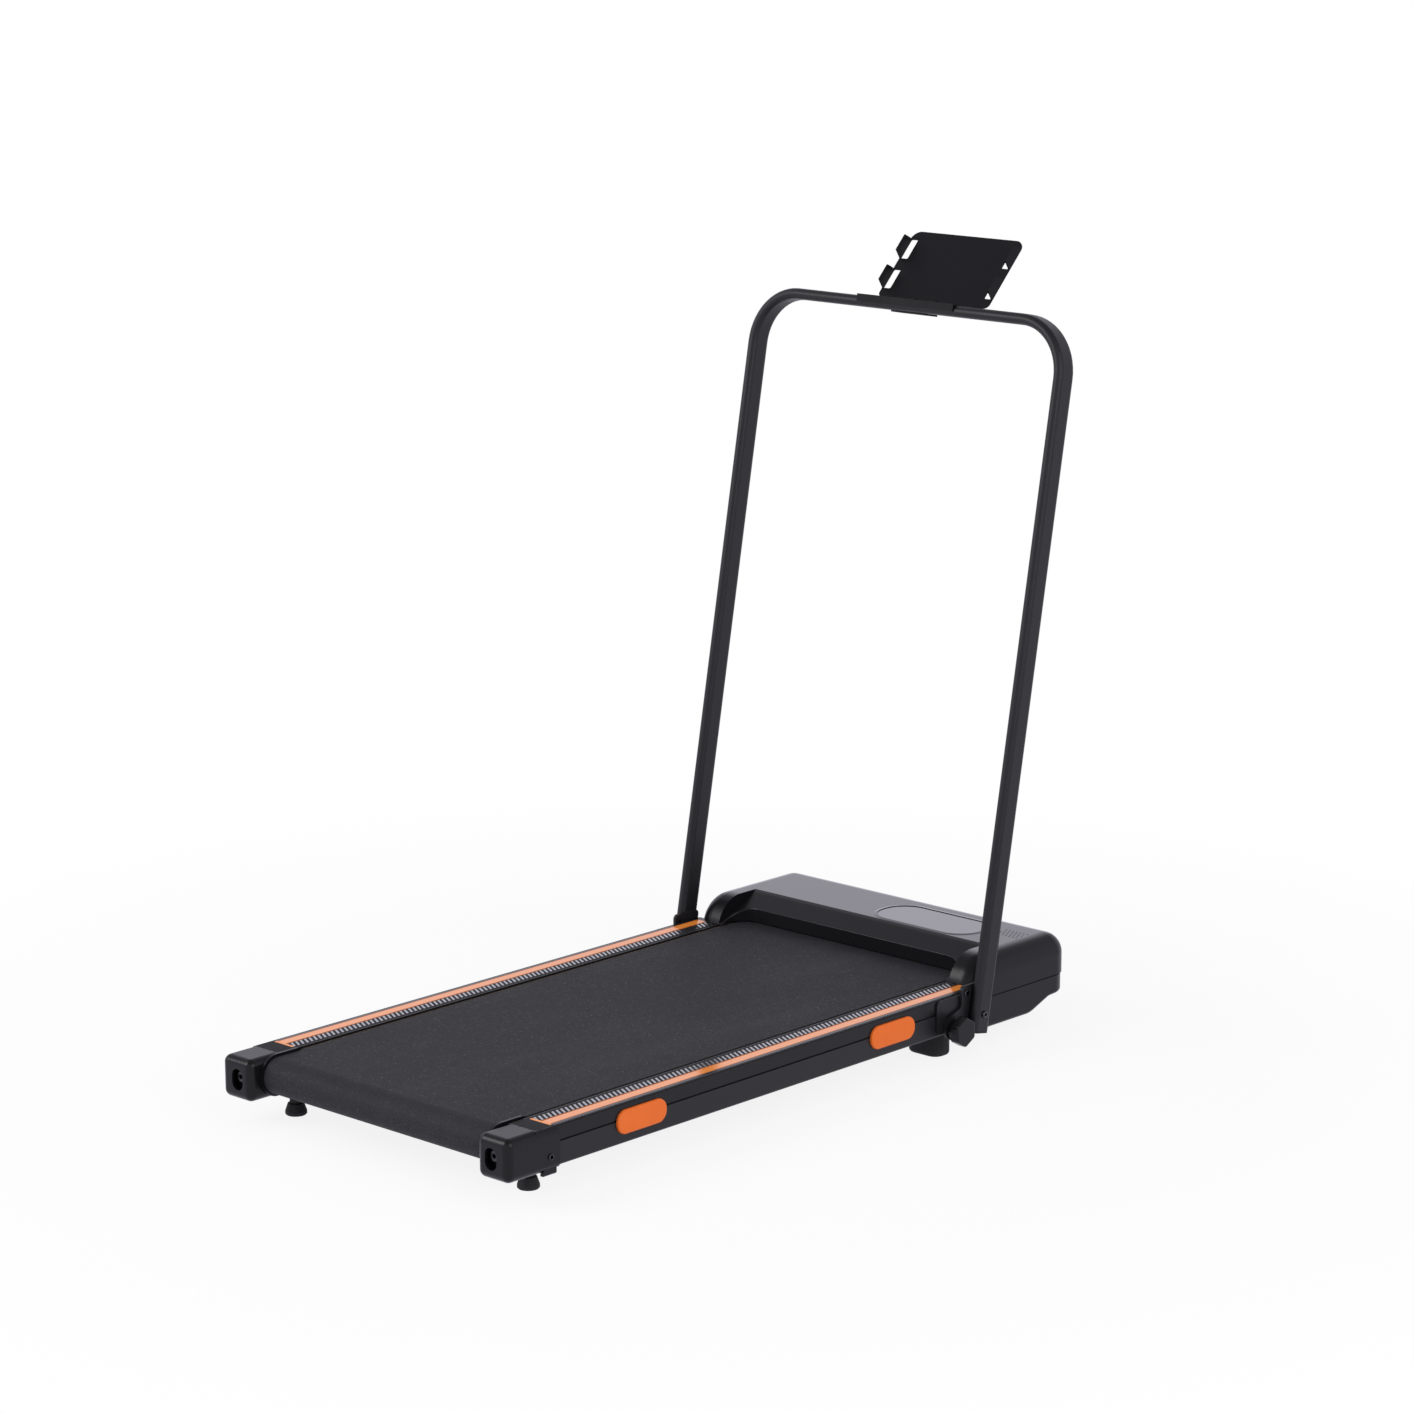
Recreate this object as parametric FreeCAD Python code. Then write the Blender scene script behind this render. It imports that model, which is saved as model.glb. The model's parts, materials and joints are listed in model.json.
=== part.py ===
"""Walking pad with a folding handrail and a tablet holder, one solid or solid group per piece."""
import FreeCAD
import Part
import math
import os

V = FreeCAD.Vector

# Driving dimensions in millimetres: X across the deck, Y towards the motor hood, Z up from the floor.
# Places along the deck (names ending in _AT, _START or _END) are distances from a line across the end caps,
# CAP_BACK ahead of their rear faces.

# Running belt, rollers and deck board
BELT_WIDTH = 400.0
BELT_THICK = 1.8
BELT_GAP = 0.3
ROLLER_R = 21.9
ROLLER_WALL = 2.5
ROLLER_END_GAP = 1.0
REAR_ROLLER_AT = 35.0
ROLLER_AHEAD = 52.0
AXLE_RISE = 26.0
AXLE_R = 7.5
AXLE_FLAT = 9.2
AXLE_END = 14.0
BEARING_R = 16.0
BEARING_WIDTH = 10.0
BOARD_THICK = 10.0
BOARD_OVERHANG = 22.0
BOARD_ROLLER_GAP = 8.0
BOARD_CAP_GAP = 2.0
BOARD_NOSE_R = 3.0

# Side rails: hollow profiles with a rebate for the foot rails, and the beams between them
RAIL_WIDTH = 48.0
RAIL_BELT_GAP = 7.0
RAIL_BOTTOM = 36.5
RAIL_STEP = 4.5
RAIL_REBATE = 2.8
RAIL_WALL = 2.4
RAIL_ROUND = 3.5
RAIL_START = 6.0
RAIL_END = 865.0
END_PLATE = 4.0
CROSS_MARGIN = 115.0
CROSS_COUNT = 3
CROSS_WIDTH = 30.0
CROSS_HEIGHT = 23.0
CROSS_WALL = 2.0
CROSS_BELT_GAP = 2.7
CUSHION_COUNT = 4
CUSHION_MARGIN = 26.0
CUSHION_SIZE = (12.0, 40.0, 3.7)
CUSHION_R = 3.0

# Foot rails that cover the side rails, and the printed film on them
FOOT_RISE = 1.0
FOOT_SKIN = 2.5
FOOT_START = 41.5
FOOT_GROOVE = 2.5
FOOT_EDGE = 1.5
FOOT_BELT_GAP = 7.5
FOOT_RIB = 2.5
FOOT_RIB_INSET = (8.0, 26.0)
FILM_THICK = 0.4
FILM_MARGIN = 2.0

# Rear end caps and belt tension bolts
CAP_BACK = 8.0
CAP_LENGTH = 79.0
CAP_FLOOR_LENGTH = 62.0
CAP_TOP_GAP = 0.5
CAP_WALL = 2.7
CAP_REAR_WALL = 5.0
CAP_ROUND = 10.0
CAP_ROOM_ROUND = 7.0
CAP_CLEAR = 0.3
CAP_FLOOR = 3.2
CAP_RISE = 0.5
CAP_SLOT = (20.0, 28.0)
CAP_SLOT_DROP = 2.5
CAP_TAB = (8.0, 21.0, 4.5)
CAP_TAB_AT = 53.0
GUARD_GAP = 0.7
GUARD_RISE = 3.5
GUARD_LENGTH = 75.0
GUARD_END_R = 8.0
BOLT_IN = 26.5
BOLT_R = 4.0
BOLT_HEAD_R = 6.5
BOLT_HEAD = 8.0
BOLT_KEY = 6.0
BOLT_KEY_DEPTH = 4.0
CAP_SCREW_AT = 63.0
CAP_SCREW_DROP = 10.5
SCREW_R = 2.5
SCREW_HEAD_R = 4.2
SCREW_HEAD = 2.0

# Oval side pads
REAR_PAD_AT = 220.5
FRONT_PAD_BACK = 177.5
PAD_LENGTH = 86.0
PAD_HEIGHT = 31.0
PAD_RISE = 28.0
PAD_PROUD = 4.0
PAD_CORNER_R = 15.0
PAD_EDGE_R = 2.5

# Motor hood with its two wings, and the pan under it
HOOD_INSET = 2.0
HOOD_RISE = 35.5
HOOD_WALL = 2.8
HOOD_ROUND = 28.0
PARTING_DROP = 0.5
CROWN_DROP = 11.5
WING_LAP = 10.5
CROWN_LEDGE = 6.0
CREASE_AHEAD = 31.0
RAMP_ANGLE = 24.0
RECESS_AHEAD = 33.0
RECESS_SIDE_GAP = 3.0
RECESS_R = 30.0
RECESS_BELT_GAP = 2.0
RECESS_EDGE_R = 2.0
SKIRT_GAP = 1.0
PAN_STEP = 1.5
PAN_GAP = 2.0
PAN_WALL = 2.5
PAN_BOTTOM = 24.5
PAN_NOSE_RISE = 17.5
PAN_KNEE_BACK = 39.5
PAN_KNEE_DROP = 2.5
PAN_KNEE_R = 14.0
PAN_SWEEP_BACK = 79.5
PAN_SWEEP_R = 40.0
PAN_EDGE_R = 5.0
PAN_LIP = 3.0
PAN_LIP_START = 20.0
POST_R = 6.0
LENS_SIDE_MARGIN = 88.0
LENS_FRONT_MARGIN = 45.0
LENS_WIDTH = 172.0
LENS_DEPTH = 76.0
LENS_R = 36.0
LENS_THICK = 1.6
LENS_GAP = 0.4
GRILLE_SIDE_MARGIN = 50.0
GRILLE_FRONT_MARGIN = 65.0
GRILLE_HOLE_R = 1.3
GRILLE_PITCH = 6.0
GRILLE_ROWS = 5
GRILLE_COLUMNS = 7
SPEAKER_R = 22.0
SPEAKER_DEPTH = 14.0
DISPLAY_INSET = 12.0
DISPLAY_THICK = 4.0

# Motor bay: tray, motor, pulleys, drive belt and electronics
TRAY_WALL = 2.5
TRAY_SIDE_GAP = 7.5
TRAY_RISE = 1.5
TRAY_LUG = 6.0
TRAY_CLEAR = 0.8
TRAY_ROLLER_GAP = 28.0
TRAY_FRONT_GAP = 56.0
PULLEY_WIDTH = 18.0
PULLEY_FLANGE = 2.0
PULLEY_RIM = 2.0
PULLEY_GAP = 8.0
ROLLER_PULLEY_R = 28.0
MOTOR_PULLEY_R = 11.0
DRIVE_BELT_THICK = 2.5
DRIVE_BELT_EDGE = 0.5
MOTOR_AHEAD = 62.0
MOTOR_RISE = 10.5
MOTOR_R = 31.0
MOTOR_LENGTH = 140.0
MOTOR_PULLEY_CLEAR = 17.0
MOTOR_BELL = 9.0
MOTOR_FRONT_GAP = 49.0
ROTOR_R = 24.0
ROTOR_AIR_GAP = 1.0
ROTOR_END_GAP = 8.0
SHAFT_R = 5.0
SHAFT_TAIL = 12.0
RUN_FIT = 0.05
BRACKET_SIDE = 12.0
BRACKET_WIDTH = 44.0
BRACKET_RISE = 16.0
PCB_LENGTH = 150.0
PCB_SIDE_MARGIN = 20.0
PCB_MARGIN = 4.0
PCB_THICK = 1.6
STANDOFF = 5.5
SINK_INSET = 30.0
SINK_SIZE = (90.0, 22.0, 34.0)
SINK_BASE = 5.0
SINK_FINS = 9
INLET_SIDE_MARGIN = 103.0
INLET_DROP = 31.0
INLET_BODY = (28.0, 20.0, 26.0)
INLET_FLANGE = (34.0, 26.0, 2.0)
INLET_SOCKET = (24.5, 16.5, 18.0)
SWITCH_PITCH = 50.0
SWITCH_BODY = (20.0, 13.0, 14.0)
SWITCH_FLANGE = (24.0, 16.5, 1.8)
SWITCH_WELL = (16.6, 10.2)
ROCKER_TILT = 9.0
ROCKER_GAP = 0.5
ROCKER_PROUD = 2.2
ROCKER_PIN_R = 1.2
PANEL_CLEAR = 0.2

# Feet and transport wheels
REAR_FOOT_AT = 72.0
REAR_FOOT_IN = 45.0
REAR_FOOT_R = 14.0
REAR_FOOT_RIM = 5.0
REAR_FOOT_CHAMFER = 1.5
REAR_FOOT_TOP_R = 10.5
REAR_FOOT_TALL = 15.0
REAR_FOOT_NECK_R = 8.0
FRONT_FOOT_AHEAD = 9.5
FRONT_FOOT_LENGTH = 37.0
FRONT_FOOT_WIDTH = 56.0
FRONT_FOOT_IN = 15.0
FRONT_FOOT_ROUND = 16.0
FRONT_FOOT_EDGE = 5.0
WHEEL_FRONT_IN = 23.0
WHEEL_SIDE_IN = 38.0
WHEEL_RISE = 19.0
WHEEL_R = 20.0
WHEEL_WIDTH = 20.0
WHEEL_PIN_R = 3.0
WHEEL_GAP = 1.0
WHEEL_TREAD_R = 3.0

# Folding handrail and its hinges
TUBE_FLAT = 15.0
TUBE_WIDE = 32.0
TUBE_WALL = 1.8
LEAN = 10.7
LEG_AHEAD = 33.6
LEG_BOTTOM = 36.0
BAR_AT = 970.4
BEND_R = 71.5
PIVOT_BACK = 61.0
PIVOT_RISE = 7.5
STUD_R = 5.0
STUD_END_COVER = 4.0
HINGE_PLATE = 2.5
HINGE_GAP = 0.4
HINGE_BACK = 29.0
HINGE_FRONT_GAP = 13.0
HINGE_BOTTOM_GAP = 4.0
HINGE_TOP_GAP = 1.5
HINGE_ROUND = 8.0
ARM_THICK = 4.0
ARM_BOSS_R = 16.0
ARM_RISE = 54.0
ARM_AHEAD = 16.0
ARM_KNEE_RISE = 26.0
ARM_FRONT_MARGIN = 4.0
ARM_ROUND = 6.0
KNOB_FLATS = 36.0
KNOB_LENGTH = 22.0
KNOB_HUB_R = 13.0
KNOB_HUB = 10.0
KNOB_ROUND = 5.0
KNOB_EDGE_R = 2.5
KNOB_GAP = 0.3
LEG_BOLT_RISE = 13.6
LEG_BOLT_R = 3.0
LEG_BOLT_HEAD_R = 4.8
LEG_BOLT_HEAD = 3.0
ARM_SCREW_IN = (9.0, 10.0)
PLUG_DEPTH = 14.0
PLUG_HEAD = 3.0

# Tablet holder on the bar
LEDGE_HALF = 84.5
LEDGE_FRONT = 38.0
SHEET = 2.0
LEDGE_FLANGE = 10.0
PLATE_HALF = 97.0
PLATE_LENGTH = 114.0
PLATE_TILT = 33.2
PLATE_ROUND = 14.0
PLATE_FOOT_ROUND = 8.0
TAB_SPANS = ((15.0, 47.5), (66.5, 100.0))
TAB_TALL = 14.5
TAB_BEVEL = 3.5
TAB_NECK = 4.0
WINDOW_WIDTH = 12.5
WINDOW_R = 2.5
CLAMP_HALF = 30.0
CLAMP_TONGUE = 12.0
CLAMP_HOOK = 24.0
CLAMP_SCREW_X = 18.0
GRIP_GAP = 0.2

# Worked-out places across the deck
BELT_HALF = BELT_WIDTH / 2
ROLLER_HALF = BELT_HALF - ROLLER_END_GAP
RAIL_INNER = BELT_HALF + RAIL_BELT_GAP
RAIL_HALF = RAIL_INNER + RAIL_WIDTH
BOLT_X = RAIL_HALF - BOLT_IN
CAP_OUTER = RAIL_HALF + CAP_CLEAR + CAP_WALL
CAP_INNER = RAIL_INNER - CAP_CLEAR - CAP_WALL
FOOT_INNER = BELT_HALF + FOOT_BELT_GAP
HOOD_HALF = RAIL_HALF - HOOD_INSET
RECESS_HALF = BELT_HALF + RECESS_SIDE_GAP
CROWN_INNER = RECESS_HALF + CROWN_LEDGE
PAN_HALF = HOOD_HALF - PAN_STEP
TRAY_HALF = HOOD_HALF - TRAY_SIDE_GAP
PASSAGE_HALF = TRAY_HALF + TRAY_CLEAR
WHEEL_X = HOOD_HALF - WHEEL_SIDE_IN
WELL_HALF = WHEEL_WIDTH / 2 + WHEEL_GAP
TRAY_PLATE_HALF = WHEEL_X - WELL_HALF - PAN_WALL - TRAY_CLEAR
LENS_X = (HOOD_HALF - LENS_SIDE_MARGIN - LENS_WIDTH, HOOD_HALF - LENS_SIDE_MARGIN)
GRILLE_X = HOOD_HALF - GRILLE_SIDE_MARGIN
PULLEY_X = -ROLLER_HALF - PULLEY_GAP
MOTOR_X = (PULLEY_X + MOTOR_PULLEY_CLEAR, PULLEY_X + MOTOR_PULLEY_CLEAR + MOTOR_LENGTH)
PCB_X = (TRAY_PLATE_HALF - PCB_SIDE_MARGIN - PCB_LENGTH, TRAY_PLATE_HALF - PCB_SIDE_MARGIN)
INLET_X = -HOOD_HALF + INLET_SIDE_MARGIN
SWITCH_X = INLET_X + SWITCH_PITCH
ARM_INNER = RAIL_HALF + HINGE_PLATE + HINGE_GAP
ARM_OUTER = ARM_INNER + ARM_THICK
LEG_X = ARM_OUTER + TUBE_FLAT / 2
LEG_OUTER = ARM_OUTER + TUBE_FLAT
KNOB_START = ARM_OUTER + KNOB_GAP
KNOB_END = KNOB_START + KNOB_LENGTH
STUD_END = KNOB_END - STUD_END_COVER

# Worked-out heights
AXLE_Z = RAIL_BOTTOM + AXLE_RISE
BELT_INNER_R = ROLLER_R + BELT_GAP
BELT_OUTER_R = BELT_INNER_R + BELT_THICK
BELT_TOP = AXLE_Z + BELT_OUTER_R
BOARD_TOP = AXLE_Z + BELT_INNER_R
BOARD_BOTTOM = BOARD_TOP - BOARD_THICK
RAIL_TOP = BOARD_BOTTOM - CUSHION_SIZE[2]
RAIL_LEDGE = RAIL_TOP - RAIL_STEP
CROSS_BOTTOM = AXLE_Z - BELT_INNER_R + CROSS_BELT_GAP
CROSS_TOP = CROSS_BOTTOM + CROSS_HEIGHT
FOOT_TOP = BELT_TOP + FOOT_RISE
FOOT_UNDER = FOOT_TOP - FOOT_SKIN
FOOT_WALL_BOTTOM = RAIL_LEDGE + FOOT_GROOVE
CAP_BOTTOM = RAIL_BOTTOM - CAP_CLEAR - CAP_FLOOR
CAP_TOP = FOOT_TOP + CAP_RISE
CAP_SCREW_Z = AXLE_Z - CAP_SCREW_DROP
PAD_Z = RAIL_BOTTOM + PAD_RISE
HOOD_TOP = FOOT_TOP + HOOD_RISE
CROWN_R = HOOD_RISE + CROWN_DROP
HOOD_UNDER = HOOD_TOP - HOOD_WALL
PARTING_Z = FOOT_WALL_BOTTOM - PARTING_DROP
WING_SEAT = FOOT_TOP
PAN_TOP = PARTING_Z - PAN_GAP
PAN_NOSE_Z = PAN_BOTTOM + PAN_NOSE_RISE
TRAY_Z = RAIL_BOTTOM + TRAY_RISE
TRAY_TOP = RAIL_LEDGE
TRAY_FLOOR = TRAY_Z + TRAY_WALL
MOTOR_Z = AXLE_Z + MOTOR_RISE
INLET_Z = HOOD_TOP - INLET_DROP
WHEEL_Z = PAN_BOTTOM + WHEEL_RISE
WELL_TOP = WHEEL_Z + WHEEL_R + WHEEL_GAP
PIVOT_Z = RAIL_BOTTOM + PIVOT_RISE
ARM_TOP_Z = PIVOT_Z + ARM_RISE
LEG_BOLT_Z = PIVOT_Z + LEG_BOLT_RISE
LEDGE_RISE = TUBE_FLAT / 2 + SHEET

# Worked-out places along the deck
CAP_TOP_LENGTH = FOOT_START - CAP_TOP_GAP
BOARD_START = CAP_LENGTH + BOARD_CAP_GAP
FRONT_ROLLER_AT = RAIL_END + ROLLER_AHEAD
BOARD_END = FRONT_ROLLER_AT - BELT_OUTER_R - BOARD_ROLLER_GAP
PAD_AT = (REAR_PAD_AT, RAIL_END - FRONT_PAD_BACK)
SKIRT_START = RAIL_END + SKIRT_GAP
CROWN_AT = RAIL_END - WING_LAP + CROWN_R
CREASE_AT = CROWN_AT + CREASE_AHEAD
RECESS_AT = RAIL_END + RECESS_AHEAD
MOTOR_AT = FRONT_ROLLER_AT + MOTOR_AHEAD
HOOD_FRONT = MOTOR_AT + MOTOR_R + MOTOR_FRONT_GAP
PAN_FRONT = HOOD_FRONT - PAN_STEP
PAN_KNEE_AT = PAN_FRONT - PAN_KNEE_BACK
PAN_SWEEP_AT = PAN_FRONT - PAN_SWEEP_BACK
LENS_FRONT = HOOD_FRONT - LENS_FRONT_MARGIN
TRAY_PLATE = (FRONT_ROLLER_AT + TRAY_ROLLER_GAP, HOOD_FRONT - TRAY_FRONT_GAP)
WHEEL_AT = HOOD_FRONT - WHEEL_FRONT_IN
WELL_START = WHEEL_AT - WHEEL_R - WHEEL_GAP
PIVOT_AT = RAIL_END - PIVOT_BACK
FRONT_FOOT_AT = PIVOT_AT + FRONT_FOOT_AHEAD
LEG_BASE_AT = PIVOT_AT + LEG_AHEAD
ARM_BACK_AT = PIVOT_AT + ARM_AHEAD
ARM_SCREW_AT = ARM_BACK_AT + ARM_SCREW_IN[0]
ARM_SCREW_Z = ARM_TOP_Z - ARM_SCREW_IN[1]
LEAN_SIN = math.sin(math.radians(LEAN))
LEAN_COS = math.cos(math.radians(LEAN))
HOLDER_TILT = math.radians(LEAN + PLATE_TILT)
OVERALL_LENGTH = (CAP_BACK + LEG_BASE_AT + (BAR_AT + LEDGE_RISE) * LEAN_SIN + LEDGE_FRONT * LEAN_COS
                  + PLATE_LENGTH * math.sin(HOLDER_TILT) + SHEET * math.cos(HOLDER_TILT))
START_Y = CAP_BACK - OVERALL_LENGTH / 2

X_AXIS = V(1, 0, 0)
Y_AXIS = V(0, 1, 0)
Z_AXIS = V(0, 0, 1)


# Shared helpers

def along(distance):
    """Y of a place given as its distance along the deck."""
    return START_Y + distance


def box(x0, x1, at0, at1, z0, z1):
    """Box between two X values, two distances along the deck and two heights."""
    return Part.makeBox(x1 - x0, at1 - at0, z1 - z0, V(x0, along(at0), z0))


def rod_x(at, z, radius, x0, x1):
    """Round bar along X."""
    return Part.makeCylinder(radius, x1 - x0, V(x0, along(at), z), X_AXIS)


def rod_y(x, z, radius, at0, at1):
    """Round bar along Y."""
    return Part.makeCylinder(radius, at1 - at0, V(x, along(at0), z), Y_AXIS)


def rod_z(x, at, radius, z0, z1):
    """Round bar along Z."""
    return Part.makeCylinder(radius, z1 - z0, V(x, along(at), z0), Z_AXIS)


def place(plane, u, v, level):
    """Point of a sketch plane: yz sketches use distances along the deck for u."""
    if plane == "yz":
        return V(level, along(u), v)
    if plane == "xz":
        return V(u, along(level), v)
    return V(u, along(v), level)


def outline(points, plane, level):
    """Closed wire through (u, v, radius) corners, each rounded by a tangent arc of its radius."""
    count = len(points)
    stops = []
    for i, (u, v, radius) in enumerate(points):
        corner = V(u, v, 0)
        before = V(*points[i - 1][:2], 0) - corner
        after = V(*points[(i + 1) % count][:2], 0) - corner
        before.normalize()
        after.normalize()
        if radius == 0:
            stops.append((corner, None, corner))
            continue
        half = before.getAngle(after) / 2
        bisector = (before + after).normalize()
        reach = radius / math.tan(half)
        middle = corner + bisector * (radius / math.sin(half) - radius)
        stops.append((corner + before * reach, middle, corner + after * reach))
    edges = []
    for i, (start, middle, end) in enumerate(stops):
        spots = [place(plane, p.x, p.y, level) for p in (start, end, stops[(i + 1) % count][0])]
        if middle is not None:
            edges.append(Part.Arc(spots[0], place(plane, middle.x, middle.y, level), spots[1]).toShape())
        if (spots[2] - spots[1]).Length > 1e-6:
            edges.append(Part.LineSegment(spots[1], spots[2]).toShape())
    return Part.Wire(edges)


def slab(points, plane, start, end):
    """Solid of a rounded outline, pushed from one level of its plane to another."""
    face = Part.Face(outline(points, plane, start))
    return face.extrude(place(plane, 0, 0, end) - place(plane, 0, 0, start))


def sharp(points):
    """Corners with no rounding."""
    return [(u, v, 0) for u, v in points]


def rectangle(u0, u1, v0, v1, radius=0.0):
    """Corners of a rectangle, all rounded alike."""
    return [(u0, v0, radius), (u1, v0, radius), (u1, v1, radius), (u0, v1, radius)]


def centred(u, v, width, height, radius=0.0):
    """Corners of a rectangle about its centre."""
    return rectangle(u - width / 2, u + width / 2, v - height / 2, v + height / 2, radius)


def spread(first, last, count):
    """Evenly spaced places from the first to the last."""
    return [first + (last - first) * i / (count - 1) for i in range(count)]


def joined(shapes):
    """One solid from pieces that meet or overlap."""
    whole = shapes[0].fuse(shapes[1:]) if len(shapes) > 1 else shapes[0]
    return whole.removeSplitter()


def without(shape, cutters):
    """Shape with all cutters taken away."""
    return shape.cut(cutters)


def edges_where(shape, test):
    """Edges whose middle point and shape pass a test."""
    chosen = []
    for edge in shape.Edges:
        middle = edge.valueAt((edge.FirstParameter + edge.LastParameter) / 2)
        if test(edge, middle):
            chosen.append(edge)
    return chosen


def near(a, b):
    """Whether two sizes are the same."""
    return abs(a - b) < 1e-4


def mirrored(shape):
    """The same piece for the other side of the deck."""
    return shape.mirror(V(0, 0, 0), X_AXIS)


def turned(shape, at, z, degrees):
    """Shape turned about an X axis: positive turns take forward to up."""
    copy = shape.copy()
    copy.rotate(V(0, along(at), z), X_AXIS, degrees)
    return copy


def save(name, shape):
    """Write one node."""
    shape.exportStep(f"parts/{name}.step")


def save_pair(name, shape):
    """Write a right-hand piece and its mirror image."""
    save(f"right_{name}", shape)
    save(f"left_{name}", mirrored(shape))


def group(shapes):
    """Separate solids in one node."""
    return Part.makeCompound(shapes)


# Frame: side rails, cross members and foot rails

def side_rail():
    """Hollow rail with a rebate, a rear end plate, an axle slot and a tension bolt hole."""
    step = RAIL_HALF - RAIL_REBATE
    outer = [(RAIL_INNER, RAIL_BOTTOM, RAIL_ROUND), (RAIL_HALF, RAIL_BOTTOM, RAIL_ROUND)]
    outer += sharp([(RAIL_HALF, RAIL_LEDGE), (step, RAIL_LEDGE), (step, RAIL_TOP), (RAIL_INNER, RAIL_TOP)])
    w = RAIL_WALL
    inner_round = RAIL_ROUND - w
    inner = [(RAIL_INNER + w, RAIL_BOTTOM + w, inner_round), (RAIL_HALF - w, RAIL_BOTTOM + w, inner_round)]
    inner += sharp([(RAIL_HALF - w, RAIL_LEDGE - w), (step - w, RAIL_LEDGE - w),
                    (step - w, RAIL_TOP - w), (RAIL_INNER + w, RAIL_TOP - w)])
    plate_end = RAIL_START + END_PLATE
    body = slab(outer, "xz", RAIL_START, RAIL_END)
    hollow = slab(inner, "xz", plate_end, RAIL_END)
    slot = box(RAIL_INNER - 1, RAIL_INNER + w + 1, plate_end, REAR_ROLLER_AT + AXLE_R + AXLE_END / 2,
               AXLE_Z - AXLE_FLAT / 2 - CAP_CLEAR, AXLE_Z + AXLE_FLAT / 2 + CAP_CLEAR)
    bolt_hole = rod_y(BOLT_X, AXLE_Z, BOLT_R + PANEL_CLEAR, RAIL_START - 1, plate_end + 1)
    screw_hole = rod_x(CAP_SCREW_AT, CAP_SCREW_Z, SCREW_R + RUN_FIT, RAIL_HALF - 2 * w, RAIL_HALF + 1)
    return without(body, [hollow, slot, bolt_hole, screw_hole])


def cross_places():
    """Places of the beams along the deck."""
    return spread(REAR_ROLLER_AT + CROSS_MARGIN, RAIL_END - CROSS_MARGIN, CROSS_COUNT)


def cross_members():
    """Hollow beams between the rails, inside the belt loop."""
    beams = []
    middle = CROSS_BOTTOM + CROSS_HEIGHT / 2
    for at in cross_places():
        outer = centred(at, middle, CROSS_WIDTH, CROSS_HEIGHT, CROSS_WALL * 1.5)
        inner = centred(at, middle, CROSS_WIDTH - 2 * CROSS_WALL, CROSS_HEIGHT - 2 * CROSS_WALL)
        body = slab(outer, "yz", -RAIL_INNER, RAIL_INNER)
        beams.append(body.cut(slab(inner, "yz", -RAIL_INNER, RAIL_INNER)))
    return group(beams)


def foot_rail():
    """Extruded cover: a top skin, an outer wall and two ribs that stand on the side rail."""
    wall = RAIL_HALF - FOOT_SKIN
    points = [(FOOT_INNER, FOOT_TOP), (RAIL_HALF - FOOT_EDGE, FOOT_TOP), (RAIL_HALF, FOOT_TOP - FOOT_EDGE),
              (RAIL_HALF, FOOT_WALL_BOTTOM), (wall, FOOT_WALL_BOTTOM), (wall, FOOT_UNDER)]
    for inset in FOOT_RIB_INSET:
        rib = RAIL_HALF - inset
        points += [(rib, FOOT_UNDER), (rib, RAIL_TOP)]
        points += [(rib - FOOT_RIB, RAIL_TOP), (rib - FOOT_RIB, FOOT_UNDER)]
    points.append((FOOT_INNER, FOOT_UNDER))
    return slab(sharp(points), "xz", FOOT_START, RAIL_END)


def foot_film():
    """Printed film on the foot rail, from the end cap to the wing of the hood."""
    end = CROWN_AT - CROWN_R - FILM_MARGIN
    points = rectangle(FOOT_INNER + FILM_MARGIN, RAIL_HALF - FOOT_EDGE - FILM_MARGIN / 2,
                       FOOT_START + FILM_MARGIN, end, FILM_MARGIN)
    return slab(points, "xy", FOOT_TOP, FOOT_TOP + FILM_THICK)


# Deck: board, cushions, belt, rollers, axles and bearings

def deck_board():
    """Board that carries the belt, with rounded ends towards the rollers."""
    half = BELT_HALF + BOARD_OVERHANG
    points = [(BOARD_START, BOARD_BOTTOM, 0), (BOARD_END, BOARD_BOTTOM, 0),
              (BOARD_END, BOARD_TOP, BOARD_NOSE_R), (BOARD_START, BOARD_TOP, BOARD_NOSE_R)]
    return slab(points, "yz", -half, half)


def deck_cushions():
    """Rubber pads under the board: along both rails and on the cross members."""
    width, length, _ = CUSHION_SIZE
    pads = []
    side = RAIL_INNER + RAIL_WALL + width / 2
    for x in (-side, side):
        for at in spread(BOARD_START + CUSHION_MARGIN, RAIL_END - CUSHION_MARGIN, CUSHION_COUNT):
            pads.append(slab(centred(x, at, width, length, CUSHION_R), "xy", RAIL_TOP, BOARD_BOTTOM))
    for x in (-BELT_HALF / 2, BELT_HALF / 2):
        for at in cross_places():
            pads.append(slab(centred(x, at, length, width, CUSHION_R), "xy", CROSS_TOP, BOARD_BOTTOM))
    return group(pads)


def belt_loop(radius, x0, x1):
    """Solid inside a loop of one radius about both rollers."""
    points = rectangle(REAR_ROLLER_AT - radius, FRONT_ROLLER_AT + radius, AXLE_Z - radius, AXLE_Z + radius,
                       radius * 0.99999)
    return slab(points, "yz", x0, x1)


def running_belt():
    """Endless belt round both rollers and the board."""
    inside = belt_loop(BELT_INNER_R, -BELT_HALF, BELT_HALF)
    return belt_loop(BELT_OUTER_R, -BELT_HALF, BELT_HALF).cut(inside)


def roller(at):
    """Steel tube with thick ends that hold the bearings."""
    shell = rod_x(at, AXLE_Z, ROLLER_R, -ROLLER_HALF, ROLLER_HALF)
    seat = BEARING_WIDTH + 2 * ROLLER_WALL
    middle = rod_x(at, AXLE_Z, ROLLER_R - ROLLER_WALL, -ROLLER_HALF + seat, ROLLER_HALF - seat)
    bore = rod_x(at, AXLE_Z, BEARING_R + RUN_FIT, -ROLLER_HALF, ROLLER_HALF)
    return without(shell, [middle, bore])


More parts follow.
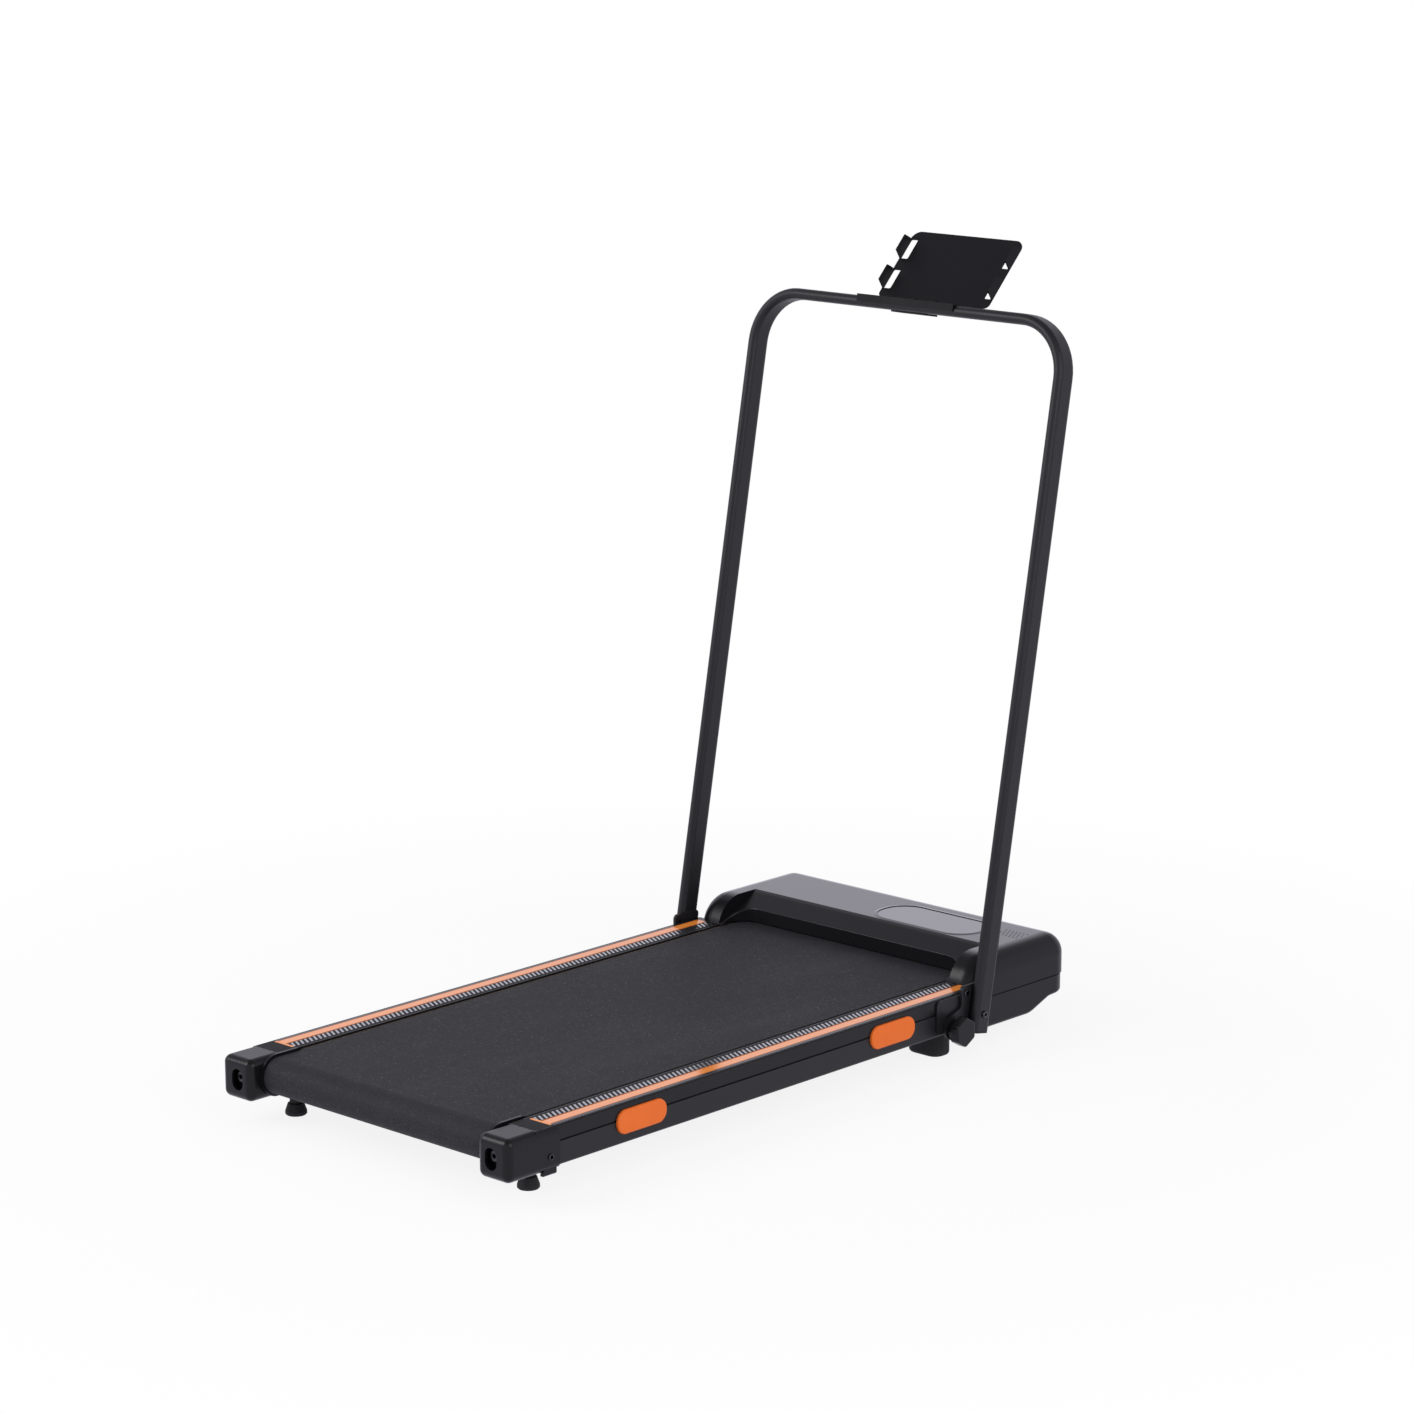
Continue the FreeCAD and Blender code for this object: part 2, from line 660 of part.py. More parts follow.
def roller_bearings(at):
    """A bearing in each end of a roller, running on the fixed axle."""
    rings = []
    for x in (-ROLLER_HALF + ROLLER_WALL, ROLLER_HALF - ROLLER_WALL - BEARING_WIDTH):
        ring = rod_x(at, AXLE_Z, BEARING_R, x, x + BEARING_WIDTH)
        rings.append(ring.cut(rod_x(at, AXLE_Z, AXLE_R + RUN_FIT, x, x + BEARING_WIDTH)))
    return group(rings)


def rear_axle():
    """Fixed axle with flats that slide in the rails and cross holes for the tension bolts."""
    end = BOLT_X + AXLE_END
    bar = rod_x(REAR_ROLLER_AT, AXLE_Z, AXLE_R, -end, end)
    cutters = []
    for side in (-1, 1):
        flat_start = RAIL_INNER - ROLLER_END_GAP
        x0, x1 = sorted((side * flat_start, side * (end + 1)))
        at0, at1 = REAR_ROLLER_AT - AXLE_R - 1, REAR_ROLLER_AT + AXLE_R + 1
        cutters.append(box(x0, x1, at0, at1, AXLE_Z + AXLE_FLAT / 2, AXLE_Z + AXLE_R + 1))
        cutters.append(box(x0, x1, at0, at1, AXLE_Z - AXLE_R - 1, AXLE_Z - AXLE_FLAT / 2))
        cutters.append(rod_y(side * BOLT_X, AXLE_Z, BOLT_R + RUN_FIT, at0, at1))
    return without(bar, cutters)


def front_axle():
    """Fixed axle held by the walls of the motor tray."""
    return rod_x(FRONT_ROLLER_AT, AXLE_Z, AXLE_R, -TRAY_HALF, TRAY_HALF)


# Rear end caps, tension bolts and side pads

def belt_guard():
    """Fin of an end cap beside the belt, round its turn over the rear roller."""
    radius = BELT_OUTER_R + GUARD_RISE
    turn = radius * 0.99999
    rear = REAR_ROLLER_AT - radius
    low, high = AXLE_Z - radius, AXLE_Z + radius
    points = [(rear, low, turn), (GUARD_LENGTH, low, radius), (GUARD_LENGTH, high, GUARD_END_R),
              (rear, high, turn)]
    return slab(points, "yz", BELT_HALF + GUARD_GAP, CAP_INNER + CAP_CLEAR)


def end_cap():
    """Moulded cap over the rail's end, open where the foot rail lies on top, with a belt guard inside."""
    body = box(CAP_INNER, CAP_OUTER, -CAP_BACK, CAP_LENGTH, CAP_BOTTOM, CAP_TOP)
    front = along(CAP_LENGTH)

    def soft(edge, m):
        return not near(m.y, front)

    body = body.makeFillet(CAP_ROUND, edges_where(body, soft))
    inner_x = RAIL_INNER - CAP_CLEAR
    outer_x = RAIL_HALF + CAP_CLEAR
    far = CAP_LENGTH + 1
    room_start = CAP_REAR_WALL - CAP_BACK
    slot_width, slot_height = CAP_SLOT
    slot_z = AXLE_Z - CAP_SLOT_DROP
    axle_room = AXLE_R + CAP_CLEAR
    room_floor = RAIL_BOTTOM - CAP_CLEAR
    floor_round = RAIL_ROUND - CAP_CLEAR
    room = [(inner_x, room_floor, floor_round), (outer_x, room_floor, floor_round)]
    rear_room = room + [(outer_x, FOOT_UNDER, CAP_ROOM_ROUND), (inner_x, FOOT_UNDER, CAP_ROOM_ROUND)]
    front_room = room + sharp([(outer_x, FOOT_UNDER), (inner_x, FOOT_UNDER)])
    cutters = [
        slab(rear_room, "xz", room_start, far),
        slab(front_room, "xz", CAP_TOP_LENGTH, far),
        box(CAP_INNER - 1, outer_x, CAP_TOP_LENGTH, far, FOOT_UNDER - CAP_CLEAR, CAP_TOP + 1),
        box(CAP_INNER - 1, outer_x, CAP_FLOOR_LENGTH, far, CAP_BOTTOM - 1, RAIL_BOTTOM + CAP_CLEAR),
        slab(centred(BOLT_X, slot_z, slot_width, slot_height, slot_width / 2 * 0.99999), "xz",
             -CAP_BACK - 1, room_start + 1),
        rod_x(CAP_SCREW_AT, CAP_SCREW_Z, SCREW_R + PANEL_CLEAR, outer_x - 1, CAP_OUTER + 1),
    ]
    width, length, depth = CAP_TAB
    tab_in, tab_out = CAP_OUTER - width, CAP_OUTER - CAP_WALL / 2
    tab = slab([(tab_in, CAP_BOTTOM, 0), (tab_out, CAP_BOTTOM, 0), (tab_out, CAP_BOTTOM - depth, CAP_WALL),
                (tab_in, CAP_BOTTOM - depth, 0)], "xz", CAP_TAB_AT, CAP_TAB_AT + length)
    root = box(CAP_OUTER - CAP_WALL, tab_out, CAP_TAB_AT, CAP_TAB_AT + length,
               CAP_BOTTOM, CAP_BOTTOM + CAP_ROUND)
    axle_way = box(BELT_HALF, inner_x + 1, REAR_ROLLER_AT - axle_room, far,
                   AXLE_Z - axle_room, AXLE_Z + axle_room)
    return joined([without(body, cutters), tab, root, belt_guard()]).cut(axle_way)


def hexagon(flats, first_angle):
    """Corners of a hexagon about the origin."""
    reach = flats / math.sqrt(3)
    turns = [math.radians(first_angle + 60 * i) for i in range(6)]
    return [(reach * math.cos(turn), reach * math.sin(turn)) for turn in turns]


def tension_bolt():
    """Bolt through the rail's end plate into the rear axle, with a hexagon socket."""
    head = rod_y(BOLT_X, AXLE_Z, BOLT_HEAD_R, RAIL_START - BOLT_HEAD, RAIL_START)
    shank = rod_y(BOLT_X, AXLE_Z, BOLT_R, RAIL_START, REAR_ROLLER_AT + AXLE_R + AXLE_END / 2)
    key = slab([(BOLT_X + u, AXLE_Z + v, 0) for u, v in hexagon(BOLT_KEY, 0)], "xz",
               RAIL_START - BOLT_HEAD, RAIL_START - BOLT_HEAD + BOLT_KEY_DEPTH)
    return joined([head, shank]).cut(key)


def cap_screws():
    """Screws that hold the end caps to the sides of the rails."""
    screw = button_screw(CAP_SCREW_AT, CAP_SCREW_Z, SCREW_R, (SCREW_HEAD_R, SCREW_HEAD),
                         RAIL_HALF - 2 * RAIL_WALL, CAP_OUTER)
    return group([screw, mirrored(screw)])


def button_screw(at, z, radius, head, x0, x1):
    """Screw along X with a rounded head, given as its radius and height, outside its seat at x1."""
    head_r, height = head
    cap = rod_x(at, z, head_r, x1, x1 + height)
    cap = cap.makeFillet(height * 0.6, edges_where(cap, lambda edge, m: near(m.x, x1 + height)))
    return joined([cap, rod_x(at, z, radius, x0, x1)])


def side_pad(at):
    """Oval pad on the side of the deck with a rounded outer edge."""
    face = RAIL_HALF + PAD_PROUD
    body = slab(centred(at, PAD_Z, PAD_LENGTH, PAD_HEIGHT, PAD_CORNER_R), "yz", RAIL_HALF, face)
    return body.makeFillet(PAD_EDGE_R, edges_where(body, lambda edge, m: near(m.x, face)))


# Motor hood and pan

def hood_block(inset, half, floor):
    """Outer form of the hood before its ramp and recess: wing arc, flat top and front, rounded sides."""
    radius = CROWN_R - inset
    centre_z = HOOD_TOP - CROWN_R
    top = HOOD_TOP - inset
    front = HOOD_FRONT - inset
    seat = WING_SEAT + floor
    start = CROWN_AT - math.sqrt(radius ** 2 - (seat - centre_z) ** 2)
    middle_turn = math.radians(125)
    middle = (CROWN_AT + radius * math.cos(middle_turn), centre_z + radius * math.sin(middle_turn))
    skirt = SKIRT_START + inset
    base = PARTING_Z + floor
    corners = [(CROWN_AT, top), (front, top), (front, base), (skirt, base), (skirt, seat), (start, seat)]
    spots = [place("yz", u, v, -half) for u, v in corners]
    edges = [Part.LineSegment(a, b).toShape() for a, b in zip(spots, spots[1:])]
    edges.append(Part.Arc(spots[-1], place("yz", *middle, -half), spots[0]).toShape())
    body = Part.Face(Part.Wire(edges)).extrude(V(2 * half, 0, 0))
    top_y, front_y = along(CROWN_AT), along(front)

    def rounded(edge, m):
        at_side = near(abs(m.x), half)
        wing = at_side and m.y < top_y and m.z > seat + 1
        roof = near(m.z, top) and (at_side or near(m.y, front_y))
        nose = at_side and near(m.y, front_y)
        return wing or roof or nose

    return body.makeFillet(HOOD_ROUND - inset, edges_where(body, rounded))


def ramp_block(inset):
    """Space above the sloped rear face between the two crowns."""
    slope = math.tan(math.radians(RAMP_ANGLE))
    drop = inset / math.cos(math.radians(RAMP_ANGLE))
    ahead, behind = HOOD_ROUND, 2 * CROWN_R + HOOD_ROUND
    points = sharp([(CREASE_AT + ahead, HOOD_TOP - drop + ahead * slope),
                    (CREASE_AT - behind, HOOD_TOP - drop - behind * slope),
                    (CREASE_AT - behind, 2 * HOOD_TOP), (CREASE_AT + ahead, 2 * HOOD_TOP)])
    half = CROWN_INNER + inset
    return slab(points, "yz", -half, half)


def recess_block(inset):
    """Space over the belt behind the hood, with large rounded corners in plan."""
    half = RECESS_HALF + inset
    edge = RECESS_AT + inset
    points = [(-half, RAIL_END - CROWN_R, 0), (half, RAIL_END - CROWN_R, 0), (half, edge, RECESS_R + inset),
              (-half, edge, RECESS_R + inset)]
    return slab(points, "xy", RAIL_BOTTOM, 2 * HOOD_TOP)


def lens_outline(gap):
    """Outline of the display window, grown by a gap."""
    back = LENS_FRONT - LENS_DEPTH
    return rectangle(LENS_X[0] - gap, LENS_X[1] + gap, back - gap, LENS_FRONT + gap, LENS_R + gap)


def grille_spots():
    """Centres of the speaker holes, every other row shifted by half a pitch."""
    middle = HOOD_FRONT - GRILLE_FRONT_MARGIN
    spots = []
    for row in range(GRILLE_ROWS):
        shift = GRILLE_PITCH / 2 if row % 2 else 0
        for column in range(GRILLE_COLUMNS - row % 2):
            x = GRILLE_X + (column - (GRILLE_COLUMNS - 1) / 2) * GRILLE_PITCH + shift
            spots.append((x, middle + (row - (GRILLE_ROWS - 1) / 2) * GRILLE_PITCH))
    return spots


def upper_hood():
    """Moulded shell with two crowned wings, a sloped rear face and a recess over the belt."""
    outer = without(hood_block(0, HOOD_HALF, 0), [ramp_block(0), recess_block(0)])
    brow_y = along(RECESS_AT)

    def brow(edge, m):
        return m.z > WING_SEAT + RECESS_EDGE_R and abs(m.x) < RECESS_HALF + 0.01 and m.y < brow_y + 0.01

    outer = outer.makeFillet(RECESS_EDGE_R, edges_where(outer, brow))
    inner = without(hood_block(HOOD_WALL, HOOD_HALF - HOOD_WALL, -1),
                    [ramp_block(HOOD_WALL), recess_block(HOOD_WALL)])
    wall_end = RECESS_AT + 2 * HOOD_WALL
    rail_passage = box(-PASSAGE_HALF, PASSAGE_HALF, SKIRT_START - CROWN_R, wall_end, RAIL_BOTTOM, WING_SEAT)
    belt_passage = box(-RECESS_HALF, RECESS_HALF, SKIRT_START, wall_end,
                       RAIL_BOTTOM, BELT_TOP + RECESS_BELT_GAP)
    lens_seat = slab(lens_outline(LENS_GAP), "xy", HOOD_TOP - LENS_THICK, HOOD_TOP + 1)
    cutters = [inner, rail_passage, belt_passage, lens_seat]
    cutters += [rod_z(x, at, GRILLE_HOLE_R, HOOD_UNDER - 1, HOOD_TOP + 1) for x, at in grille_spots()]
    for x, (width, height, _) in ((INLET_X, INLET_BODY), (SWITCH_X, SWITCH_BODY)):
        hole = centred(x, INLET_Z, width + 2 * PANEL_CLEAR, height + 2 * PANEL_CLEAR)
        cutters.append(slab(hole, "xz", HOOD_FRONT - 2 * HOOD_WALL, HOOD_FRONT + 1))
    return without(outer, cutters)


def pan_plan(inset):
    """Plan outline of the pan, rounded at the front like the hood above it."""
    half = PAN_HALF - inset
    radius = HOOD_ROUND - PAN_STEP - inset
    start, front = SKIRT_START + inset, PAN_FRONT - inset
    return [(-half, start, 0), (half, start, 0), (half, front, radius), (-half, front, radius)]


def pan_block(inset, top):
    """Form of the pan: flat belly, swept-up front with a step and rounded lower edges."""
    half = PAN_HALF - inset
    front = PAN_FRONT - inset
    start = SKIRT_START + inset
    bottom = PAN_BOTTOM + inset
    points = [(start, top, 0), (start, bottom, 0), (PAN_SWEEP_AT, bottom, PAN_SWEEP_R),
              (PAN_KNEE_AT, PAN_NOSE_Z - PAN_KNEE_DROP + inset, PAN_KNEE_R),
              (front, PAN_NOSE_Z + inset, 0), (front, top, 0)]
    body = slab(points, "yz", -half, half).common(slab(pan_plan(inset), "xy", bottom, top))
    start_y = along(start)

    def lower(edge, m):
        upright = near(edge.BoundBox.ZLength, edge.Length)
        return m.z < top - 0.01 and m.y > start_y + 0.01 and abs(m.x) < half + 0.01 and not upright and (
            abs(m.x) > half - HOOD_ROUND or m.z > PAN_NOSE_Z + inset - 1)

    return body.makeFillet(PAN_EDGE_R - inset / 2, edges_where(body, lower))


def lower_pan():
    """Moulded belly pan with posts for the motor tray, a lip for the hood and two wheel wells."""
    shell = pan_block(0, PAN_TOP)
    lip = slab(pan_plan(PAN_WALL), "xy", PAN_TOP - PAN_LIP, PAN_TOP + PAN_LIP)
    hollow = pan_block(PAN_WALL, PAN_TOP - PAN_LIP)
    lip_hollow = slab(pan_plan(2 * PAN_WALL), "xy", PAN_TOP - 2 * PAN_LIP, PAN_TOP + 2 * PAN_LIP)
    throat = box(-PASSAGE_HALF, PASSAGE_HALF, SKIRT_START - 1, SKIRT_START + 3 * PAN_WALL,
                 RAIL_BOTTOM, PAN_TOP + 2 * PAN_LIP)
    lip_end = box(-PAN_HALF, PAN_HALF, SKIRT_START - 1, SKIRT_START + PAN_LIP_START,
                  PAN_TOP, PAN_TOP + 2 * PAN_LIP)
    post_at = TRAY_PLATE[0] + POST_R
    pieces = [without(joined([shell, lip]), [hollow, lip_hollow, throat, lip_end])]
    pieces += [rod_z(x, post_at, POST_R, PAN_BOTTOM + PAN_WALL / 2, TRAY_Z)
               for x in (-TRAY_PLATE_HALF / 2, 0, TRAY_PLATE_HALF / 2)]
    wells = []
    for x in (-WHEEL_X, WHEEL_X):
        reach = WELL_HALF + PAN_WALL
        cover = box(x - reach, x + reach, WELL_START - PAN_WALL, HOOD_FRONT,
                    PAN_BOTTOM, WELL_TOP + PAN_WALL)
        pieces.append(cover.common(pan_block(0, PAN_TOP)))
        wells.append(box(x - WELL_HALF, x + WELL_HALF, WELL_START, HOOD_FRONT, 0, WELL_TOP))
        wells.append(rod_x(WHEEL_AT, WHEEL_Z, WHEEL_PIN_R + RUN_FIT, x - reach, x + reach))
    return without(joined(pieces), wells)


def display_lens():
    """Smoked window, flush with the hood's top."""
    return slab(lens_outline(0), "xy", HOOD_TOP - LENS_THICK, HOOD_TOP)


def display_board():
    """Display module under the window."""
    points = rectangle(LENS_X[0] + DISPLAY_INSET, LENS_X[1] - DISPLAY_INSET,
                       LENS_FRONT - LENS_DEPTH + DISPLAY_INSET, LENS_FRONT - DISPLAY_INSET)
    return slab(points, "xy", HOOD_UNDER - DISPLAY_THICK, HOOD_UNDER)


def speaker():
    """Small speaker under the hole pattern: a rim, a cone basket and a magnet."""
    middle = HOOD_FRONT - GRILLE_FRONT_MARGIN
    rim = rod_z(GRILLE_X, middle, SPEAKER_R, HOOD_UNDER - SPEAKER_DEPTH / 4, HOOD_UNDER)
    basket = Part.makeCone(SPEAKER_R / 2, SPEAKER_R, SPEAKER_DEPTH / 2,
                           V(GRILLE_X, along(middle), HOOD_UNDER - SPEAKER_DEPTH * 3 / 4), Z_AXIS)
    magnet = rod_z(GRILLE_X, middle, SPEAKER_R / 2, HOOD_UNDER - SPEAKER_DEPTH,
                   HOOD_UNDER - SPEAKER_DEPTH / 2)
    return joined([rim, basket, magnet])


# Motor bay

def motor_tray():
    """Folded tray: a plate ahead of the belt, two walls that hold the axle and flanges on the rails."""
    plate_start, plate_end = TRAY_PLATE
    wall_x = TRAY_HALF - TRAY_WALL
    pieces = [box(-TRAY_HALF, TRAY_HALF, plate_start, plate_end, TRAY_Z, TRAY_FLOOR)]
    for side in (-1, 1):
        x0, x1 = sorted((side * wall_x, side * TRAY_HALF))
        pieces.append(box(x0, x1, RAIL_END, plate_end, TRAY_Z, TRAY_TOP))
        pieces.append(rod_x(FRONT_ROLLER_AT, AXLE_Z, AXLE_R + TRAY_LUG, x0, x1))
        x0, x1 = sorted((side * RAIL_INNER, side * TRAY_HALF))
        pieces.append(box(x0, x1, RAIL_END, RAIL_END + TRAY_WALL, TRAY_Z, TRAY_TOP))
    bore = rod_x(FRONT_ROLLER_AT, AXLE_Z, AXLE_R + RUN_FIT, -TRAY_HALF - 1, TRAY_HALF + 1)
    return joined(pieces).cut(bore)


def pulley(at, z, radius, bore):
    """Flanged belt pulley that turns about X."""
    x0, x1 = PULLEY_X - PULLEY_WIDTH, PULLEY_X
    rim = radius + PULLEY_RIM
    drum = rod_x(at, z, radius, x0, x1)
    flanges = [rod_x(at, z, rim, x0, x0 + PULLEY_FLANGE), rod_x(at, z, rim, x1 - PULLEY_FLANGE, x1)]
    return joined([drum] + flanges).cut(rod_x(at, z, bore, x0 - 1, x1 + 1))


def roller_pulley():
    """Pulley on the drive roller with a hub against the roller's end."""
    body = pulley(FRONT_ROLLER_AT, AXLE_Z, ROLLER_PULLEY_R, AXLE_R + BELT_GAP)
    hub = rod_x(FRONT_ROLLER_AT, AXLE_Z, ROLLER_R - ROLLER_WALL, PULLEY_X, -ROLLER_HALF)
    bore = rod_x(FRONT_ROLLER_AT, AXLE_Z, AXLE_R + BELT_GAP, PULLEY_X, -ROLLER_HALF)
    return joined([body, hub.cut(bore)])


def motor_pulley():
    """Small pulley on the motor's shaft."""
    return pulley(MOTOR_AT, MOTOR_Z, MOTOR_PULLEY_R, SHAFT_R + RUN_FIT)


def drive_loop(extra, x0, x1):
    """Solid inside an open belt loop about both pulleys, at some distance outside them."""
    big, small = ROLLER_PULLEY_R + extra, MOTOR_PULLEY_R + extra
    span = math.hypot(MOTOR_AT - FRONT_ROLLER_AT, MOTOR_Z - AXLE_Z)
    heading = math.atan2(MOTOR_Z - AXLE_Z, MOTOR_AT - FRONT_ROLLER_AT)
    spread = math.acos((big - small) / span)

    def spot(at, z, radius, turn):
        return place("yz", at + radius * math.cos(turn), z + radius * math.sin(turn), x0)

    upper, lower = heading + spread, heading - spread
    big_spots = [spot(FRONT_ROLLER_AT, AXLE_Z, big, turn) for turn in (upper, heading + math.pi, lower)]
    small_spots = [spot(MOTOR_AT, MOTOR_Z, small, turn) for turn in (lower, heading, upper)]
    edges = [Part.Arc(*big_spots), Part.LineSegment(big_spots[2], small_spots[0]),
             Part.Arc(*small_spots), Part.LineSegment(small_spots[2], big_spots[0])]
    wire = Part.Wire([edge.toShape() for edge in edges])
    return Part.Face(wire).extrude(V(x1 - x0, 0, 0))


def drive_belt():
    """Flat belt from the motor's pulley to the drive roller's pulley."""
    x0 = PULLEY_X - PULLEY_WIDTH + PULLEY_FLANGE + DRIVE_BELT_EDGE
    x1 = PULLEY_X - PULLEY_FLANGE - DRIVE_BELT_EDGE
    return drive_loop(BELT_GAP + DRIVE_BELT_THICK, x0, x1).cut(drive_loop(BELT_GAP, x0, x1))


def drive_motor():
    """Hollow motor can with stepped end bells and a bore for the shaft in each bell."""
    x0, x1 = MOTOR_X
    can = rod_x(MOTOR_AT, MOTOR_Z, MOTOR_R, x0 + MOTOR_BELL, x1 - MOTOR_BELL)
    bells = rod_x(MOTOR_AT, MOTOR_Z, MOTOR_R - MOTOR_BELL / 3, x0, x1)
    chamber = rod_x(MOTOR_AT, MOTOR_Z, ROTOR_R + ROTOR_AIR_GAP, x0 + MOTOR_BELL, x1 - MOTOR_BELL)
    bore = rod_x(MOTOR_AT, MOTOR_Z, SHAFT_R + RUN_FIT, x0 - 1, x1 + 1)
    return without(joined([can, bells]), [chamber, bore])


def motor_rotor():
    """Shaft with its wound core inside the can, from the motor's tail to the pulley's outer face."""
    shaft = rod_x(MOTOR_AT, MOTOR_Z, SHAFT_R, PULLEY_X - PULLEY_WIDTH, MOTOR_X[1] + SHAFT_TAIL)
    end = MOTOR_BELL + ROTOR_END_GAP
    core = rod_x(MOTOR_AT, MOTOR_Z, ROTOR_R, MOTOR_X[0] + end, MOTOR_X[1] - end)
    return joined([shaft, core])


def motor_bracket():
    """Saddle that seats the motor on the tray."""
    x0, x1 = MOTOR_X[0] + BRACKET_SIDE, MOTOR_X[1] - BRACKET_SIDE
    saddle = box(x0, x1, MOTOR_AT - BRACKET_WIDTH / 2, TRAY_PLATE[1], TRAY_FLOOR, TRAY_FLOOR + BRACKET_RISE)
    return saddle.cut(rod_x(MOTOR_AT, MOTOR_Z, MOTOR_R, x0 - 1, x1 + 1))


def control_board():
    """Motor controller: circuit board on four standoffs with two capacitors and a relay."""
    x0, x1 = PCB_X
    at0, at1 = TRAY_PLATE[0] + PCB_MARGIN, TRAY_PLATE[1] - PCB_MARGIN
    base = TRAY_FLOOR + STANDOFF
    top = base + PCB_THICK
    pieces = [box(x0, x1, at0, at1, base, top)]
    inset = 2 * PCB_MARGIN
    pieces += [rod_z(x, at, PCB_MARGIN, TRAY_FLOOR, base) for x in (x0 + inset, x1 - inset)
               for at in (at0 + inset, at1 - inset)]
    can_r = 2 * PCB_MARGIN
    pieces += [rod_z(x0 + 2 * can_r, at1 - 2 * can_r, can_r, top, top + 4 * can_r),
               rod_z(x0 + 5 * can_r, at1 - 2 * can_r, can_r, top, top + 4 * can_r),
               box(x1 - 6 * can_r, x1 - 2 * can_r, at1 - 3 * can_r, at1 - can_r, top, top + 2 * can_r)]
    return joined(pieces)


def heat_sink():
    """Finned sink on the controller's edge."""
    length, depth, height = SINK_SIZE
    at0 = TRAY_PLATE[0] + 2 * PCB_MARGIN
    base = TRAY_FLOOR + STANDOFF + PCB_THICK
    x0, x1 = PCB_X[0] + SINK_INSET, PCB_X[0] + SINK_INSET + length
    fin = (x1 - x0) / (2 * SINK_FINS - 1)
    pieces = [box(x0, x1, at0, at0 + depth, base, base + SINK_BASE)]
    pieces += [box(x0 + 2 * i * fin, x0 + (2 * i + 1) * fin, at0, at0 + depth, base, base + height)
               for i in range(SINK_FINS)]
    return joined(pieces)


def panel_piece(x, body, flange):
    """Moulded body behind the hood's front wall with a flange outside it."""
    width, height, depth = body
    rim_width, rim_height, rim = flange
    inner = slab(centred(x, INLET_Z, width, height), "xz", HOOD_FRONT - depth, HOOD_FRONT)
    outer = slab(centred(x, INLET_Z, rim_width, rim_height, rim), "xz", HOOD_FRONT, HOOD_FRONT + rim)
    return joined([inner, outer])


def mains_inlet():
    """Mains inlet with an open socket towards the front."""
    width, height, depth = INLET_SOCKET
    front = HOOD_FRONT + INLET_FLANGE[2]
    socket = slab(centred(INLET_X, INLET_Z, width, height, INLET_FLANGE[2]), "xz", front - depth, front + 1)
    return panel_piece(INLET_X, INLET_BODY, INLET_FLANGE).cut(socket)


def switch_bezel():
    """Frame of the power switch with a well for the rocker and holes for its pin."""
    width, height = SWITCH_WELL
    front = HOOD_FRONT + SWITCH_FLANGE[2]
    well = slab(centred(SWITCH_X, INLET_Z, width, height), "xz", front - SWITCH_BODY[2] + SHEET, front + 1)
    half = SWITCH_BODY[0] / 2
    pin_hole = rod_x(HOOD_FRONT - ROCKER_PROUD, INLET_Z, ROCKER_PIN_R + RUN_FIT,
                     SWITCH_X - half, SWITCH_X + half)
    return without(panel_piece(SWITCH_X, SWITCH_BODY, SWITCH_FLANGE), [well, pin_hole])


def power_rocker():
    """Rocker on a pin, with a bent face, at rest with its lower end pressed in."""
    width, height = SWITCH_WELL
    half = width / 2 - ROCKER_GAP
    axis_at = HOOD_FRONT - ROCKER_PROUD
    reach = height / 2 - 2 * ROCKER_GAP
    face = HOOD_FRONT + SWITCH_FLANGE[2] + ROCKER_PROUD / 2
    back = axis_at - ROCKER_PROUD
    points = sharp([(back, INLET_Z - reach / 2), (face, INLET_Z - reach), (face - ROCKER_GAP, INLET_Z),
                    (face, INLET_Z + reach), (back, INLET_Z + reach / 2)])
    body = slab(points, "yz", SWITCH_X - half, SWITCH_X + half)
    pin_half = SWITCH_BODY[0] / 2 - ROCKER_GAP
    pin = rod_x(axis_at, INLET_Z, ROCKER_PIN_R, SWITCH_X - pin_half, SWITCH_X + pin_half)
    return turned(joined([body, pin]), axis_at, INLET_Z, -ROCKER_TILT)


# Feet and transport wheels

def rear_foot():
    """Turned rubber foot: a bell-shaped base, a neck and a flat seat under the rail."""
    x = RAIL_HALF - REAR_FOOT_IN
    shoulder = REAR_FOOT_TALL + REAR_FOOT_CHAMFER
    profile = [(0, 0), (REAR_FOOT_R - REAR_FOOT_CHAMFER, 0), (REAR_FOOT_R, REAR_FOOT_CHAMFER),
               (REAR_FOOT_R, REAR_FOOT_RIM), (REAR_FOOT_TOP_R, REAR_FOOT_TALL), (REAR_FOOT_NECK_R, shoulder),
               (REAR_FOOT_NECK_R, RAIL_BOTTOM), (0, RAIL_BOTTOM)]
    spots = [V(x + r, along(REAR_FOOT_AT), z) for r, z in profile]
    face = Part.Face(Part.makePolygon(spots + spots[:1]))
    return face.revolve(V(x, along(REAR_FOOT_AT), 0), Z_AXIS, 360)


def front_foot():
    """Rubber block under the rail with rounded corners and a rounded lower edge."""
    x1 = RAIL_HALF - FRONT_FOOT_IN
    x0 = x1 - FRONT_FOOT_WIDTH
    at0, at1 = FRONT_FOOT_AT - FRONT_FOOT_LENGTH / 2, FRONT_FOOT_AT + FRONT_FOOT_LENGTH / 2
    under_belt = box(x0 - 1, RAIL_INNER - CAP_CLEAR, at0 - 1, at1 + 1, RAIL_BOTTOM - FOOT_SKIN, RAIL_BOTTOM)
    body = slab(rectangle(x0, x1, at0, at1, FRONT_FOOT_ROUND), "xy", 0, RAIL_BOTTOM)
    body = body.makeFillet(FRONT_FOOT_EDGE, edges_where(body, lambda edge, m: near(m.z, 0)))
    return body.cut(under_belt)


